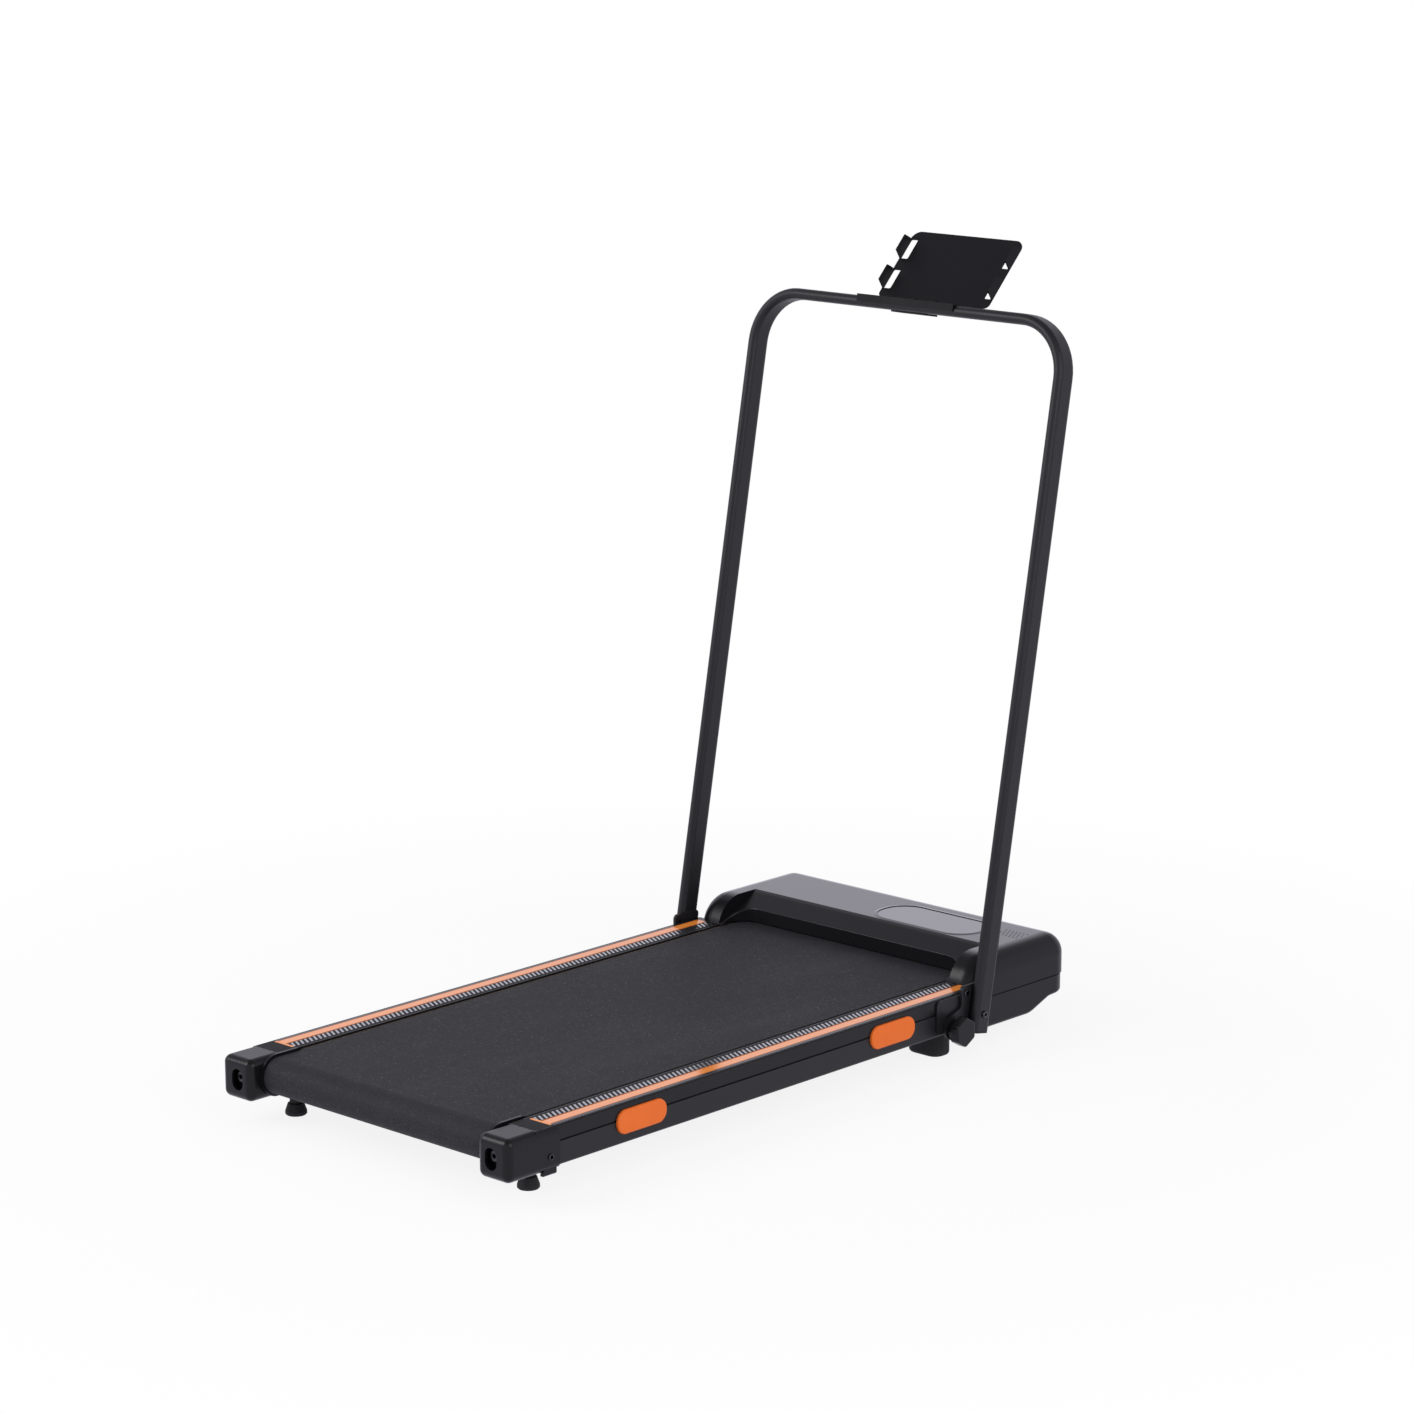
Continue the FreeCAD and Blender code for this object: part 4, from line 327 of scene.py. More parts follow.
tree.links.new(rescale(tree, polish, 0.0, 1.0, 0.0, 0.22), shader.inputs["Coat Weight"])
shader.inputs["Coat Roughness"].default_value = 0.12
keep("polished_plastic", material)
print("its polish ends", POLISH_FROM * 1000, "mm below the hood's top")

# %% [markdown]
# ### Running belt
# The belt is dark grey plastic on a woven carrier. Its top is embossed with a pebble grain about a
# millimetre and a half across, so it looks matt from above and shows pale flecks where it rolls round the
# rear roller. Cells give the pebbles, a drawn-out noise gives faint marks across the belt, sparse specks of
# it are polished and catch the light, and a slanted line is the joint where its two ends were welded.

# %% Mix the belt
WELD_AT, WELD_HALF, WELD_SLANT, LOWER_RUN = 0.05, 0.0006, 0.35, 0.06
material, tree, shader, spot = new_finish("embossed_belt", (0.020, 0.020, 0.0225), 0.68, 0.18)
cells = add_node(tree, "TexVoronoi", {"Vector": spot, "Scale": 620.0}, feature="SMOOTH_F1")
pebbles = cells.outputs["Distance"]
weave = noise(tree, stretched(tree, spot, (90.0, 420.0, 420.0)), 1.0, 3.0, 0.6)
wear = noise(tree, stretched(tree, spot, (11.0, 4.0, 4.0)), 1.0, 4.0, 0.6)
axes = add_node(tree, "SeparateXYZ", {0: spot}).outputs
slant = sum_up(tree, "ADD", axes["Y"], sum_up(tree, "MULTIPLY", axes["X"], WELD_SLANT))
weld = add_node(tree, "Math", {0: slant, 1: WELD_AT, 2: WELD_HALF}, operation="COMPARE").outputs[0]
lower_run = sum_up(tree, "LESS_THAN", axes["Z"], LOWER_RUN)
joint = sum_up(tree, "MULTIPLY", weld, lower_run)
grain = sum_up(tree, "ADD", pebbles, sum_up(tree, "MULTIPLY", weave, 0.6))
relief(tree, shader, sum_up(tree, "SUBTRACT", grain, joint), 0.00022, 0.75)
flecks = rescale(tree, sum_up(tree, "ADD", pebbles, weave), 0.55, 1.25, 0.0, 1.0)
mottled = tint(tree, flecks, (0.015, 0.015, 0.0170, 1), (0.031, 0.031, 0.0345, 1))
scuffed = tint(tree, rescale(tree, wear, 0.5, 0.8, 0.0, 0.35), mottled, (0.048, 0.048, 0.052, 1))
tree.links.new(scuffed, shader.inputs["Base Color"])
flakes = noise(tree, stretched(tree, spot, (300.0, 700.0, 700.0)), 1.0, 1.0)
specks = rescale(tree, flakes, 0.66, 0.76, 0.0, 1.0)
matt = rescale(tree, weave, 0.3, 0.7, 0.60, 0.76)
tree.links.new(blend(tree, specks, matt, 0.36), shader.inputs["Roughness"])
tree.links.new(blend(tree, specks, 0.16, 0.36), shader.inputs["Specular IOR Level"])
keep("belt", material)

# %% [markdown]
# ### Printed film
# A film lies on each foot rail. Its ground is matt black. From the belt outwards it is printed with slanted
# silver ticks, a glossy orange stripe with matt edges and a glossy black band, and an orange bar closes the
# print at the rear. Both films are one strip, turned round for the other side, so their ticks are parallel.
# The strip has a metal back that shows as a bright line at its cut edges. The print could be drawn as an
# image, but bands of the place across the deck stay sharp at any distance and need no picture. Each ink
# changes the colour, the roughness, the gloss and the metal together, because at this shallow view gloss
# shows more than colour does.

# %% Print the film
TICK_PITCH, TICK_SHARE, TICK_SLANT, TICK_SHIFT = 0.0075, 0.46, 0.5, 2.0
BAR_START, PRINT_START, PRINT_END = -0.4936, -0.4891, 0.4
TICKS, STRIPE_EDGE, STRIPE = (0.2140, 0.2279), (0.2287, 0.2462), (0.2312, 0.2448)
GLOSS_BAND, CROSS_BAR, STEEP = (0.2462, 0.2512), (0.2140, 0.2482), 0.5
material, tree, shader, spot = new_finish("printed_film", (0.008, 0.008, 0.009), 0.55, 0.10)
axes = add_node(tree, "SeparateXYZ", {0: spot}).outputs
across = sum_up(tree, "ABSOLUTE", axes["X"])
along = axes["Y"]


def band(value, low, high):
    """One where a value lies between two limits."""
    sockets = {0: value, 1: (low + high) / 2, 2: (high - low) / 2}
    return add_node(tree, "Math", sockets, operation="COMPARE").outputs[0]


def both(first, second):
    """One where two bands meet."""
    return sum_up(tree, "MULTIPLY", first, second)


slant = sum_up(tree, "ADD", along, sum_up(tree, "MULTIPLY", axes["X"], TICK_SLANT))
stroke = sum_up(tree, "FRACT", sum_up(tree, "DIVIDE", sum_up(tree, "ADD", slant, TICK_SHIFT), TICK_PITCH))
printed = band(along, PRINT_START, PRINT_END)
ticks = both(both(band(across, *TICKS), sum_up(tree, "LESS_THAN", stroke, TICK_SHARE)), printed)
stripe_edge = both(band(across, *STRIPE_EDGE), printed)
stripe = both(band(across, *STRIPE), printed)
gloss_band = both(band(across, *GLOSS_BAND), printed)
cross_bar = both(band(across, *CROSS_BAR), band(along, BAR_START, PRINT_START))
normal = add_node(tree, "NewGeometry").outputs["Normal"]
upright = add_node(tree, "SeparateXYZ", {0: normal}).outputs["Z"]
cut_edge = sum_up(tree, "LESS_THAN", sum_up(tree, "ABSOLUTE", upright), STEEP)
ink = noise(tree, spot, 350.0, 3.0)
smears = noise(tree, spot, 12.0, 3.0)
black = tint(tree, ink, (0.006, 0.006, 0.007, 1), (0.011, 0.011, 0.012, 1))
silver = tint(tree, ink, (0.30, 0.30, 0.31, 1), (0.38, 0.38, 0.39, 1))
matt_orange = tint(tree, ink, (0.36, 0.085, 0.008, 1), (0.44, 0.110, 0.012, 1))
orange = tint(tree, ink, (0.86, 0.260, 0.036, 1), (0.94, 0.310, 0.050, 1))
colour, rough, gloss, metal = black, 0.55, 0.10, 0.0
inks = ((ticks, silver, 0.18, 0.5, 1.0), (stripe_edge, matt_orange, 0.50, 0.10, 0.0),
        (stripe, orange, 0.12, 0.8, 0.0), (gloss_band, black, 0.16, 0.30, 0.0),
        (cross_bar, orange, 0.30, 0.3, 0.0), (cut_edge, silver, 0.30, 0.5, 1.0))
for mask, ink_colour, ink_rough, ink_gloss, ink_metal in inks:
    colour = tint(tree, mask, colour, ink_colour)
    rough = blend(tree, mask, rough, ink_rough)
    gloss = blend(tree, mask, gloss, ink_gloss)
    metal = blend(tree, mask, metal, ink_metal)
tree.links.new(colour, shader.inputs["Base Color"])
drift = rescale(tree, smears, 0.3, 0.7, -0.03, 0.04)
tree.links.new(sum_up(tree, "ADD", rough, drift), shader.inputs["Roughness"])
tree.links.new(gloss, shader.inputs["Specular IOR Level"])
tree.links.new(metal, shader.inputs["Metallic"])
relief(tree, shader, noise(tree, spot, 55.0, 2.0), 0.00008, 0.3)
keep("film", material)
print("ticks every", TICK_PITCH * 1000, "mm")

# %% [markdown]
# ### Orange pads and rubber
# The side pads are dyed orange plastic with a satin skin: a fine grain and a slightly deeper colour where the
# dye gathered. The feet and tyres are black rubber, duller than any plastic here, with a dusty bloom.

# %% Mix the orange plastic and the rubber
material, tree, shader, spot = new_finish("satin_orange_plastic", (0.86, 0.165, 0.018), 0.42, 0.24)
relief(tree, shader, noise(tree, spot, 1500.0, 2.0), 0.00003, 0.5)
dye = noise(tree, spot, 38.0, 3.0)
colour_drift(tree, shader, dye, (0.82, 0.150, 0.015), (0.90, 0.180, 0.022))
gloss_drift(tree, shader, dye, 0.38, 0.46)
keep("orange", material)

material, tree, shader, spot = new_finish("black_rubber", (0.011, 0.011, 0.0115), 0.66, 0.3)
bloom = noise(tree, spot, 45.0, 4.0, 0.65)
colour_drift(tree, shader, bloom, (0.008, 0.008, 0.0085), (0.016, 0.016, 0.0165))
gloss_drift(tree, shader, bloom, 0.58, 0.75)
relief(tree, shader, noise(tree, spot, 900.0, 3.0), 0.00005, 0.5)
keep("rubber", material)

# %% [markdown]
# ### Metals
# Axles, rollers and bearings are bright steel with the fine rings that turning leaves. They all lie along the
# width of the deck, so one noise that is very fine along the width gives rings on each. Bolts and screws are
# black zinc plated, so only a glint shows on them. The heat sink is extruded aluminium with drawn lines, and
# the motor wears dark enamel.

# %% Mix the metals
material, tree, shader, spot = new_finish("turned_steel", (0.50, 0.50, 0.52), 0.30, 0.5, 1.0)
rings = noise(tree, stretched(tree, spot, (3200.0, 60.0, 60.0)), 1.0, 2.0)
relief(tree, shader, rings, 0.00002, 0.4)
stain = noise(tree, spot, 70.0, 4.0, 0.6)
colour_drift(tree, shader, stain, (0.44, 0.44, 0.46), (0.56, 0.56, 0.58))
gloss_drift(tree, shader, rings, 0.24, 0.38)
keep("steel", material)

material, tree, shader, spot = new_finish("black_zinc", (0.060, 0.060, 0.064), 0.26, 0.5, 1.0)
plating = noise(tree, spot, 160.0, 4.0, 0.6)
relief(tree, shader, noise(tree, spot, 1800.0, 2.0), 0.00002, 0.4)
colour_drift(tree, shader, plating, (0.045, 0.045, 0.049), (0.078, 0.078, 0.083))
gloss_drift(tree, shader, plating, 0.20, 0.32)
keep("black_zinc", material)

material, tree, shader, spot = new_finish("extruded_aluminium", (0.60, 0.60, 0.62), 0.36, 0.5, 1.0)
lines = noise(tree, stretched(tree, spot, (60.0, 2400.0, 60.0)), 1.0, 2.0)
relief(tree, shader, lines, 0.00002, 0.4)
colour_drift(tree, shader, noise(tree, spot, 40.0, 3.0), (0.54, 0.54, 0.56), (0.64, 0.64, 0.66))
gloss_drift(tree, shader, lines, 0.30, 0.44)
keep("aluminium", material)

material, tree, shader, spot = new_finish("motor_enamel", (0.030, 0.030, 0.034), 0.34, 0.5)
relief(tree, shader, noise(tree, spot, 260.0, 2.0), 0.00008, 0.4)
runs = noise(tree, spot, 24.0, 4.0, 0.6)
colour_drift(tree, shader, runs, (0.024, 0.024, 0.028), (0.038, 0.038, 0.042))
gloss_drift(tree, shader, runs, 0.28, 0.42)
keep("motor", material)

# %% [markdown]
# ### Window, boards and small plastics
# The display window is a smoked sheet with a polished face. The deck board under the belt is pressed wood
# with a dark slippery coat through which its fibres show. The circuit board is green lacquer over copper
# tracks, which bricks of very different length and height can draw. Pulleys and wheel hubs are plain grey
# plastic, and the strokes on the rocker are off-white.

# %% Mix the window, the boards and the small plastics
material, tree, shader, spot = new_finish("smoked_window", (0.006, 0.006, 0.008), 0.08, 0.5)
haze = noise(tree, spot, 18.0, 4.0, 0.6)
gloss_drift(tree, shader, haze, 0.06, 0.12)
colour_drift(tree, shader, haze, (0.005, 0.005, 0.007), (0.008, 0.008, 0.010))
shader.inputs["Coat Weight"].default_value = 0.62
shader.inputs["Coat Roughness"].default_value = 0.04
keep("window", material)

material, tree, shader, spot = new_finish("coated_deck_board", (0.090, 0.070, 0.052), 0.45, 0.4)
fibres = noise(tree, stretched(tree, spot, (160.0, 60.0, 900.0)), 1.0, 4.0, 0.65)
colour_drift(tree, shader, fibres, (0.060, 0.046, 0.034), (0.125, 0.098, 0.072))
gloss_drift(tree, shader, fibres, 0.38, 0.56)
relief(tree, shader, fibres, 0.00010, 0.5)
keep("board", material)

material, tree, shader, spot = new_finish("circuit_lacquer", (0.016, 0.130, 0.050), 0.30, 0.5)
sockets = {"Vector": spot, "Scale": 1.0, "Mortar Size": 0.0005, "Brick Width": 0.014, "Row Height": 0.0032}
tracks = add_node(tree, "TexBrick", sockets, offset=0.35).outputs["Fac"]
colour_drift(tree, shader, tracks, (0.014, 0.115, 0.044), (0.045, 0.230, 0.085))
relief(tree, shader, tracks, 0.00006, 0.5)
keep("circuit", material)

material, tree, shader, spot = new_finish("grey_plastic", (0.085, 0.085, 0.090), 0.45, 0.4)
flow = noise(tree, spot, 30.0, 4.0, 0.6)
colour_drift(tree, shader, flow, (0.070, 0.070, 0.075), (0.100, 0.100, 0.106))
gloss_drift(tree, shader, flow, 0.38, 0.50)
relief(tree, shader, noise(tree, spot, 1100.0, 2.0), 0.00003, 0.5)
keep("grey_plastic", material)

material, tree, shader, spot = new_finish("stroke_white", (0.62, 0.62, 0.60), 0.50, 0.4)
colour_drift(tree, shader, noise(tree, spot, 600.0, 3.0), (0.56, 0.56, 0.54), (0.68, 0.68, 0.66))
keep("stroke_white", material)

# %% [markdown]
# ## Dress the solids
# The record names a material slot for each node, so the finishes above carry the same names and one loop
# dresses them all. A few pieces wear a smoother or duller kind of their slot. Only the materials change: the
# solids stay exactly where and as they are.

# %% Give every node its finish
kinds = {"upper_hood": "polished_plastic",
         "holder_plate": "matt_powder_coat", "holder_clamp": "matt_powder_coat",
         "left_tension_bolt": "black_zinc", "right_tension_bolt": "black_zinc"}
for part in frame["record"]["subparts"]:
    for place in nodes[part["node"]].material_slots:
        place.material = finishes[kinds.get(part["node"], part["material_slot"])]

# %% [markdown]
# ## Screws with real heads
# The solid screws have plain round heads. Real ones have a key socket or a cross. A head is modelled once,
# standing on its seat and looking up, then copied to each place. The ring of its rim and the outline of the
# socket are bridged to make the top, and the socket is the same outline pushed down.

# %% Helpers for screws
SHARP_FROM = math.radians(35)


def ring(bm, sides, radius, height, turn=0.0):
    """Open ring of edges at one height."""
    place = Matrix.Translation((0, 0, height)) @ Matrix.Rotation(turn, 4, "Z")
    made = bmesh.ops.create_circle(bm, segments=sides, radius=radius, cap_ends=False, matrix=place)
    return [edge for edge in bm.edges if edge.verts[0] in made["verts"] and edge.verts[1] in made["verts"]]


def verts_of(made):
    """Points among the things that a mesh step made."""
    return [item for item in made if isinstance(item, bmesh.types.BMVert)]


def next_ring(bm, edges, radius, height):
    """Push a ring on to another radius and height and give back its new edges."""
    made = bmesh.ops.extrude_edge_only(bm, edges=edges)["geom"]
    for vert in verts_of(made):
        flat = Vector((vert.co.x, vert.co.y, 0)).normalized() * radius
        vert.co = (flat.x, flat.y, height)
    return [item for item in made if isinstance(item, bmesh.types.BMEdge)]


def close_ring(bm, edges):
    """Fill the inside of a ring."""
    bmesh.ops.contextual_create(bm, geom=edges)


def socket_head(radius, height, key, sides=32):
    """Button head with a six-sided key socket."""
    bm = bmesh.new()
    crown = ring(bm, sides, radius * 0.62, height)
    key_ring = ring(bm, 6, key / math.sqrt(3), height)
    bmesh.ops.bridge_loops(bm, edges=crown + key_ring)
    floor_ring = next_ring(bm, key_ring, key / math.sqrt(3), height * 0.3)
    close_ring(bm, floor_ring)
    for share, level in ((0.84, 0.90), (0.96, 0.68), (1.0, 0.40), (1.0, 0.0)):
        crown = next_ring(bm, crown, radius * share, height * level)
    close_ring(bm, crown)
    bmesh.ops.recalc_face_normals(bm, faces=bm.faces)
    return bm


def cross_head(radius, height, sides=24):
    """Round head with a cross recess: a grid whose middle row and column are pushed down."""
    bm = bmesh.new()
    span = radius * 0.55
    top = Matrix.Translation((0, 0, height))
    bmesh.ops.create_grid(bm, x_segments=3, y_segments=3, size=span, matrix=top)
    for vert in bm.verts:
        for axis in (0, 1):
            if abs(vert.co[axis]) < span * 0.5:
                vert.co[axis] *= 0.48
    rim = [edge for edge in bm.edges if edge.is_boundary]
    middles = [(face, face.calc_center_median()) for face in bm.faces]
    cross = [face for face, middle in middles if min(abs(middle.x), abs(middle.y)) < 1e-6]
    crown = ring(bm, sides, radius * 0.78, height)
    bmesh.ops.bridge_loops(bm, edges=rim + crown)
    sunk = bmesh.ops.extrude_face_region(bm, geom=cross)["geom"]
    bmesh.ops.translate(bm, vec=(0, 0, -height * 0.6), verts=verts_of(sunk))
    bmesh.ops.delete(bm, geom=cross, context="FACES")
    for share, level in ((0.93, 0.85), (1.0, 0.55), (1.0, 0.0)):
        crown = next_ring(bm, crown, radius * share, height * level)
    close_ring(bm, crown)
    bmesh.ops.recalc_face_normals(bm, faces=bm.faces)
    return bm


def gather(name, shapes, places_of):
    """One mesh object from copies of some shapes, each at its places."""
    whole = bmesh.new()
    for shape, places in zip(shapes, places_of):
        for place in places:
            copy = shape.copy()
            copy.transform(place)
            mesh = bpy.data.meshes.new("part")
            copy.to_mesh(mesh)
            copy.free()
            whole.from_mesh(mesh)
            bpy.data.meshes.remove(mesh)
        shape.free()
    mesh = bpy.data.meshes.new(name)
    whole.to_mesh(mesh)
    whole.free()
    piece = bpy.data.objects.new(name, mesh)
    bpy.context.collection.objects.link(piece)
    return piece


def fit_out(piece, slot, body, finish=None):
    """Give a new piece its finish, named by the slot unless another finish is given, and the body that it
    rides on.
    """
    piece.data.materials.append(finishes[finish or slot])
    piece.data.shade_smooth()
    piece.data.set_sharp_from_angle(angle=SHARP_FROM)
    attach(piece, body)
    print(piece.name, len(piece.data.polygons), "faces on", body)


def facing(x, y, z, direction):
    """Place of a head that stands on a seat and looks along a direction."""
    return Matrix.Translation((x, y, z)) @ Vector(direction).to_track_quat("Z", "Y").to_matrix().to_4x4()


def on_both_sides(x, y, z):
    """Places of two heads that look outwards from the left and from the right."""
    return [facing(side * x, y, z, (side, 0, 0)) for side in (-1, 1)]


print("screw helpers ready")

# %% [markdown]
# ### Handrail bolts
# One bolt goes through each leg of the handrail and one small screw holds each hinge arm. Both stand where
# the solid ones stood, which their common box tells: the bolt is the lowest and frontmost, the screw the
# highest and rearmost.

# %% Make the handrail bolts
low, high = (Vector(corner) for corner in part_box("leg_bolts"))
BOLT_HEAD_R, BOLT_HEAD, BOLT_KEY = 0.0048, 0.0030, 0.004
SCREW_HEAD_R, SCREW_HEAD = 0.0042, 0.0020
bolt_y, bolt_z = high.y - BOLT_HEAD_R, low.z + BOLT_HEAD_R
screw_y, screw_z = low.y + SCREW_HEAD_R, high.z - SCREW_HEAD_R
leg_face = high.x - BOLT_HEAD
arm_face = leg_face - (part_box("handrail_tube")[1][0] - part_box("right_hinge_arm")[1][0])
heads = [socket_head(BOLT_HEAD_R, BOLT_HEAD, BOLT_KEY), cross_head(SCREW_HEAD_R, SCREW_HEAD)]
places = [on_both_sides(leg_face, bolt_y, bolt_z), on_both_sides(arm_face, screw_y, screw_z)]
bolts = gather("handrail_bolts", heads, places)
fit_out(bolts, "steel", "handrail", "black_zinc")
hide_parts("leg_bolts")

# %% Make the end cap screws
low, high = (Vector(corner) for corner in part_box("cap_screws"))
cap_y, cap_z, cap_face = (low.y + high.y) / 2, (low.z + high.z) / 2, high.x - SCREW_HEAD
cap_places = on_both_sides(cap_face, cap_y, cap_z)
cap_fixings = gather("cap_fixings", [cross_head(SCREW_HEAD_R, SCREW_HEAD)], [cap_places])
fit_out(cap_fixings, "steel", "frame", "black_zinc")
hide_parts("cap_screws")

# %% [markdown]
# ### Screws under the pan
# The belly pan hangs on screws from below, two rows of four, where the service hatch of such a pad is
# opened. Their heads sit on the flat belly and look down.

# %% Make the pan screws
PAN_HEAD_R, PAN_HEAD = 0.0045, 0.0018
PAN_COLUMNS, PAN_ROWS = (-0.196, -0.075, 0.075, 0.196), (0.018, 0.082)
low = Vector(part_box("lower_pan")[0])
pan_places = [facing(x, low.y + y, low.z, (0, 0, -1)) for x in PAN_COLUMNS for y in PAN_ROWS]
pan_screws = gather("pan_screws", [cross_head(PAN_HEAD_R, PAN_HEAD)], [pan_places])
fit_out(pan_screws, "steel", "frame", "black_zinc")

# %% [markdown]
# ## Transport wheels
# Two small wheels at the front of the pan let the pad roll when its rear is lifted. A wheel is a turned
# shape, so half of its outline is drawn as a line of points and spun about the pin: a rubber tyre with two
# grooves, and a plastic hub with a boss on each side.

# %% Turn the wheels
def turned_piece(name, outline, centre, steps=56):
    """Spin a closed outline of (place along the pin, radius) points about the pin."""
    bm = bmesh.new()
    verts = [bm.verts.new((x, 0, radius)) for x, radius in outline]
    edges = [bm.edges.new((a, b)) for a, b in zip(verts, verts[1:] + verts[:1])]
    bmesh.ops.spin(bm, geom=verts + edges, cent=(0, 0, 0), axis=(1, 0, 0), dvec=(0, 0, 0), angle=math.tau,
                   steps=steps, use_merge=True)
    bmesh.ops.remove_doubles(bm, verts=bm.verts, dist=1e-7)
    bmesh.ops.recalc_face_normals(bm, faces=bm.faces)
    return gather(name, [bm], [[Matrix.Translation(centre)]])


MM = 0.001
tyre_half = [(0, 13.2), (7.4, 13.2), (8.6, 14.0), (9.6, 15.4), (10.0, 17.2), (9.5, 18.7), (8.3, 19.6),
             (6.8, 20.0), (4.4, 20.0), (4.2, 18.6), (3.0, 18.6), (2.8, 20.0), (0, 20.0)]
hub_half = [(0, 3.05), (10.0, 3.05), (10.0, 6.2), (9.2, 7.0), (5.2, 7.6), (4.6, 8.4), (4.6, 10.6),
            (5.2, 11.4), (7.6, 12.0), (8.0, 12.6), (7.6, 13.0), (0, 13.0)]


def whole_outline(half):
    """Outline with its mirror image on the other side of the wheel."""
    other = [(-x, radius) for x, radius in reversed(half) if x]
    return [(x * MM, radius * MM) for x, radius in half + other]


for side in ("left", "right"):
    low, high = (Vector(corner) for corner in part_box(side + "_transport_wheel"))
    middle = (low + high) / 2
    tyre = turned_piece(side + "_tyre", whole_outline(tyre_half), middle)
    fit_out(tyre, "rubber", side + "_wheel")
    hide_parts(side + "_transport_wheel")
    fit_out(turned_piece(side + "_hub", whole_outline(hub_half), middle), "grey_plastic", side + "_wheel")

# %% [markdown]
# ## Mains inlet and switch
# The inlet at the front has three flat pins deep in its socket, the middle one higher. The rocker beside it
# carries the usual raised strokes: a line for on and a ring for off.

# %% Make the inlet pins
def rounded_bar(size, rounding):
    """Bar about the origin with softened edges."""
    bm = bmesh.new()
    bmesh.ops.create_cube(bm, size=1.0)
    bmesh.ops.scale(bm, vec=size, verts=bm.verts)
    bmesh.ops.bevel(bm, geom=bm.edges[:], offset=rounding, offset_type="OFFSET", segments=2, profile=0.5,
                    affect="EDGES", material=-1)
    return bm


FLOOR_DEPTH, TIP_DEPTH = 0.018, 0.004
PIN_WIDTH, PIN_HEIGHT, PIN_ROUNDING = 0.002, 0.004, 0.0004
PIN_SPOTS = ((-0.007, -0.002), (0.007, -0.002), (0.0, 0.002))
low, high = (Vector(corner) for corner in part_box("mains_inlet"))
socket_floor, pin_tip = high.y - FLOOR_DEPTH, high.y - TIP_DEPTH
pin_length = pin_tip - socket_floor
inlet = (low + high) / 2
pin_places = [Matrix.Translation((inlet.x + dx, socket_floor + pin_length / 2, inlet.z + dz))
              for dx, dz in PIN_SPOTS]
pin = rounded_bar((PIN_WIDTH, pin_length, PIN_HEIGHT), PIN_ROUNDING)
pins = gather("inlet_pins", [pin], [pin_places])
fit_out(pins, "steel", "frame")

# %% [markdown]
# The strokes on the rocker are a shallow bar and a shallow ring. They lie on the two halves of its bent face,
# so each is tilted with its half, and the whole rocker rests tilted about its pin.

# %% Make the rocker's strokes
FACE_AHEAD, FACE_REACH, FACE_DIP, REST_TILT = 0.0051, 0.0041, 0.0005, math.radians(-9)
RING_OUTER, RING_INNER, RING_SIDES, RING_RISE = 0.0014, 0.0010, 24, 0.0002
BAR_SIZE, BAR_ROUNDING = (0.0005, 0.0004, 0.0026), 0.0001
joints = frame["record"]["behaviour"]["joints"]
switch = next(joint for joint in joints if joint["name"] == "power_switch")
rest = Matrix.Translation(switch["pos_m"]) @ Matrix.Rotation(REST_TILT, 4, "X")
dip = math.atan2(FACE_DIP, FACE_REACH)


def on_face(side):
    """Middle of the upper half (1) or the lower half (-1) of the rocker's face."""
    middle = Vector((0, FACE_AHEAD - FACE_DIP / 2, side * FACE_REACH / 2))
    return rest @ Matrix.Translation(middle) @ Matrix.Rotation(-side * dip, 4, "X")


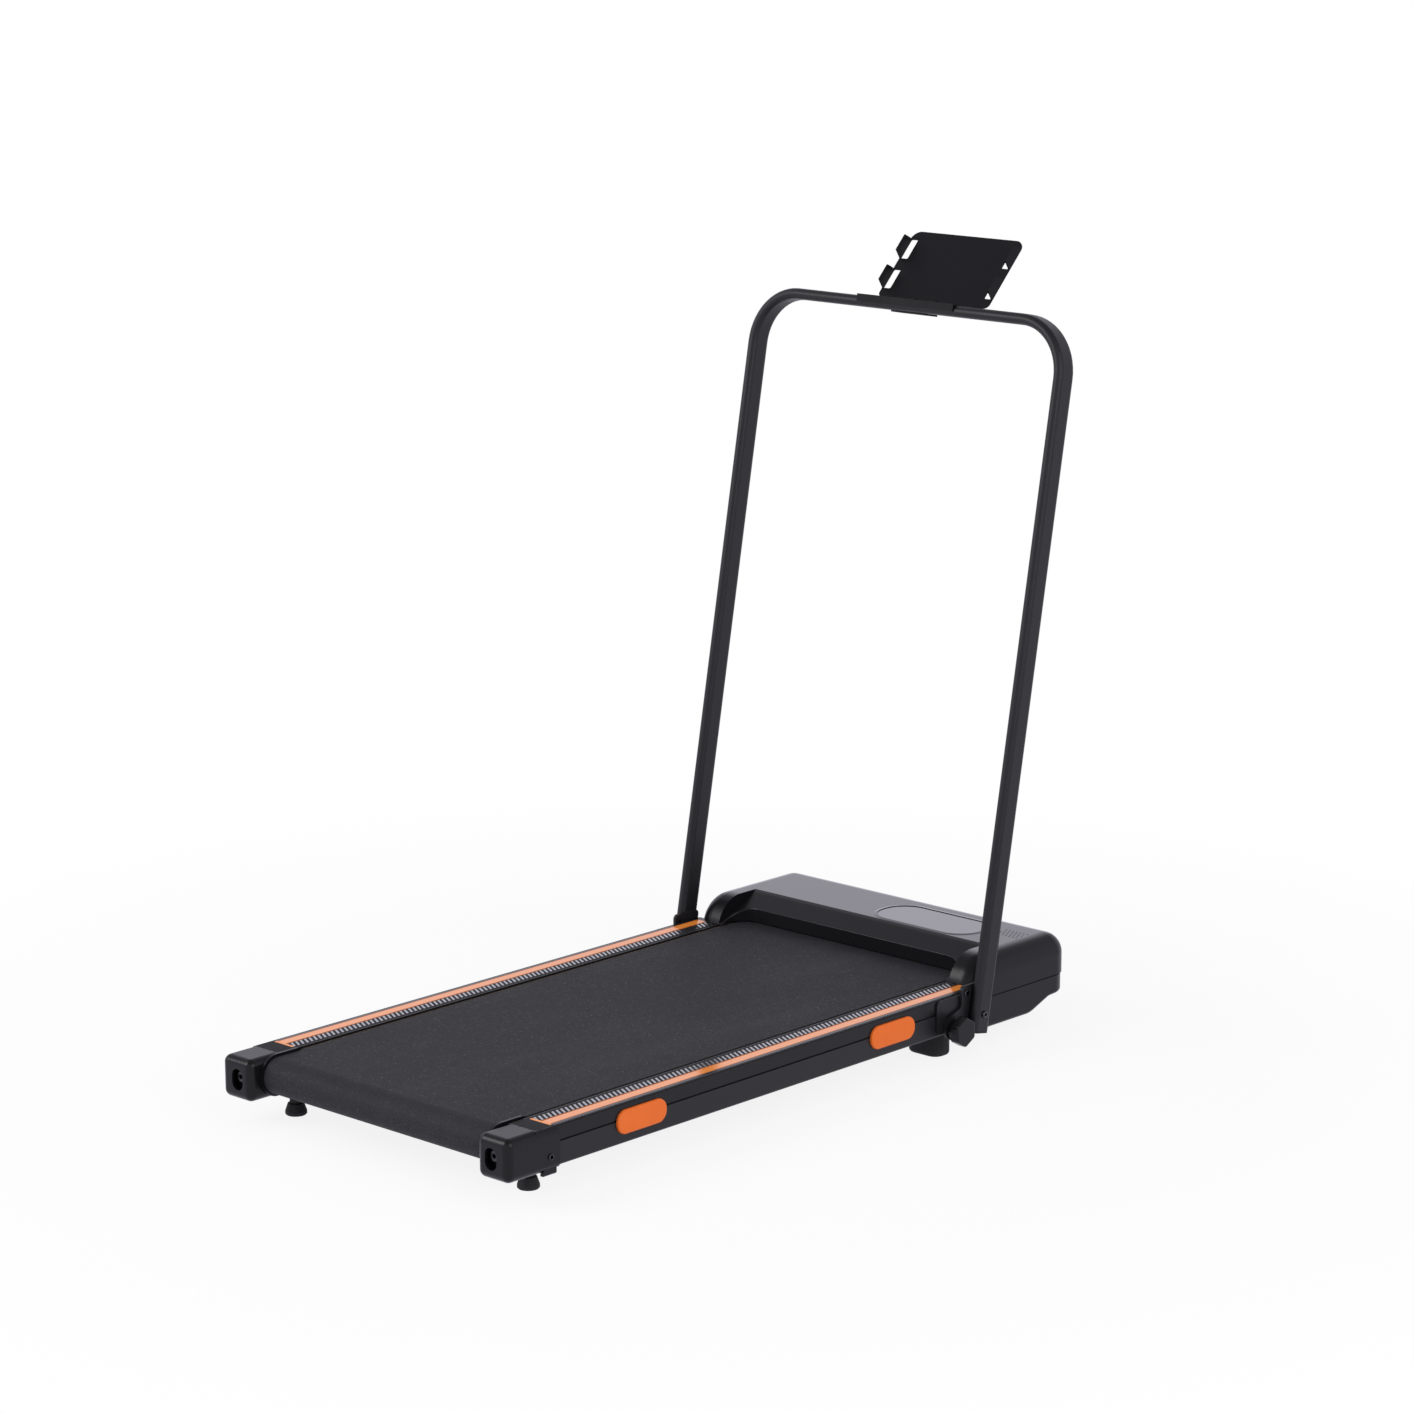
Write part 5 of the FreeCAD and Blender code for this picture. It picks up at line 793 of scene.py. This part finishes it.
off_ring = bmesh.new()
outer = ring(off_ring, RING_SIDES, RING_OUTER, 0.0)
inner = ring(off_ring, RING_SIDES, RING_INNER, 0.0)
bmesh.ops.bridge_loops(off_ring, edges=outer + inner)
raised = bmesh.ops.extrude_face_region(off_ring, geom=off_ring.faces[:])["geom"]
bmesh.ops.translate(off_ring, vec=(0, 0, RING_RISE), verts=verts_of(raised))
bmesh.ops.recalc_face_normals(off_ring, faces=off_ring.faces)
look_ahead = Vector((0, 1, 0)).to_track_quat("Z", "X").to_matrix().to_4x4()
strokes = gather("rocker_strokes", [rounded_bar(BAR_SIZE, BAR_ROUNDING), off_ring],
                 [[on_face(1)], [on_face(-1) @ look_ahead]])
fit_out(strokes, "grey_plastic", "rocker", "stroke_white")

# %% [markdown]
# ## Rim of the display window
# A low rim is moulded into the hood round the display window. It is steep towards the window, where it shows
# as a thin dark line at the far edge, and runs out flat on the outside. Its section is a wedge of three
# corners. Each corner is carried round the window's rounded outline, so three rings of points make the rim.

# %% Mould the rim of the window
RIM_GAP, RIM_HEIGHT, RIM_REACH, RIM_SINK = 0.0004, 0.0009, 0.0055, 0.00005
CORNER_R, CORNER_STEPS = 0.036, 16


def rounded_outline(low, high, offset, height):
    """Points round a rectangle with rounded corners, moved outwards by an offset."""
    points = []
    for number, (x, y) in enumerate(((high.x, high.y), (low.x, high.y), (low.x, low.y), (high.x, low.y))):
        centre_x = min(max(x, low.x + CORNER_R), high.x - CORNER_R)
        centre_y = min(max(y, low.y + CORNER_R), high.y - CORNER_R)
        for step in range(CORNER_STEPS + 1):
            angle = (number + step / CORNER_STEPS) * math.pi / 2
            points.append((centre_x + (CORNER_R + offset) * math.cos(angle),
                           centre_y + (CORNER_R + offset) * math.sin(angle), height))
    return points


low, high = (Vector(corner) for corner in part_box("display_lens"))
wedge = ((RIM_GAP, high.z - RIM_SINK), (RIM_GAP, high.z + RIM_HEIGHT),
         (RIM_GAP + RIM_REACH, high.z - RIM_SINK / 2))
rim = bmesh.new()
loops = [[rim.verts.new(point) for point in rounded_outline(low, high, *corner)] for corner in wedge]
for first, second in zip(loops, loops[1:] + loops[:1]):
    for number in range(len(first)):
        ahead = (number + 1) % len(first)
        rim.faces.new((first[number], first[ahead], second[ahead], second[number]))
bmesh.ops.recalc_face_normals(rim, faces=rim.faces)
window_rim = gather("window_rim", [rim], [[Matrix.Identity(4)]])
fit_out(window_rim, "black_plastic", "frame", "polished_plastic")
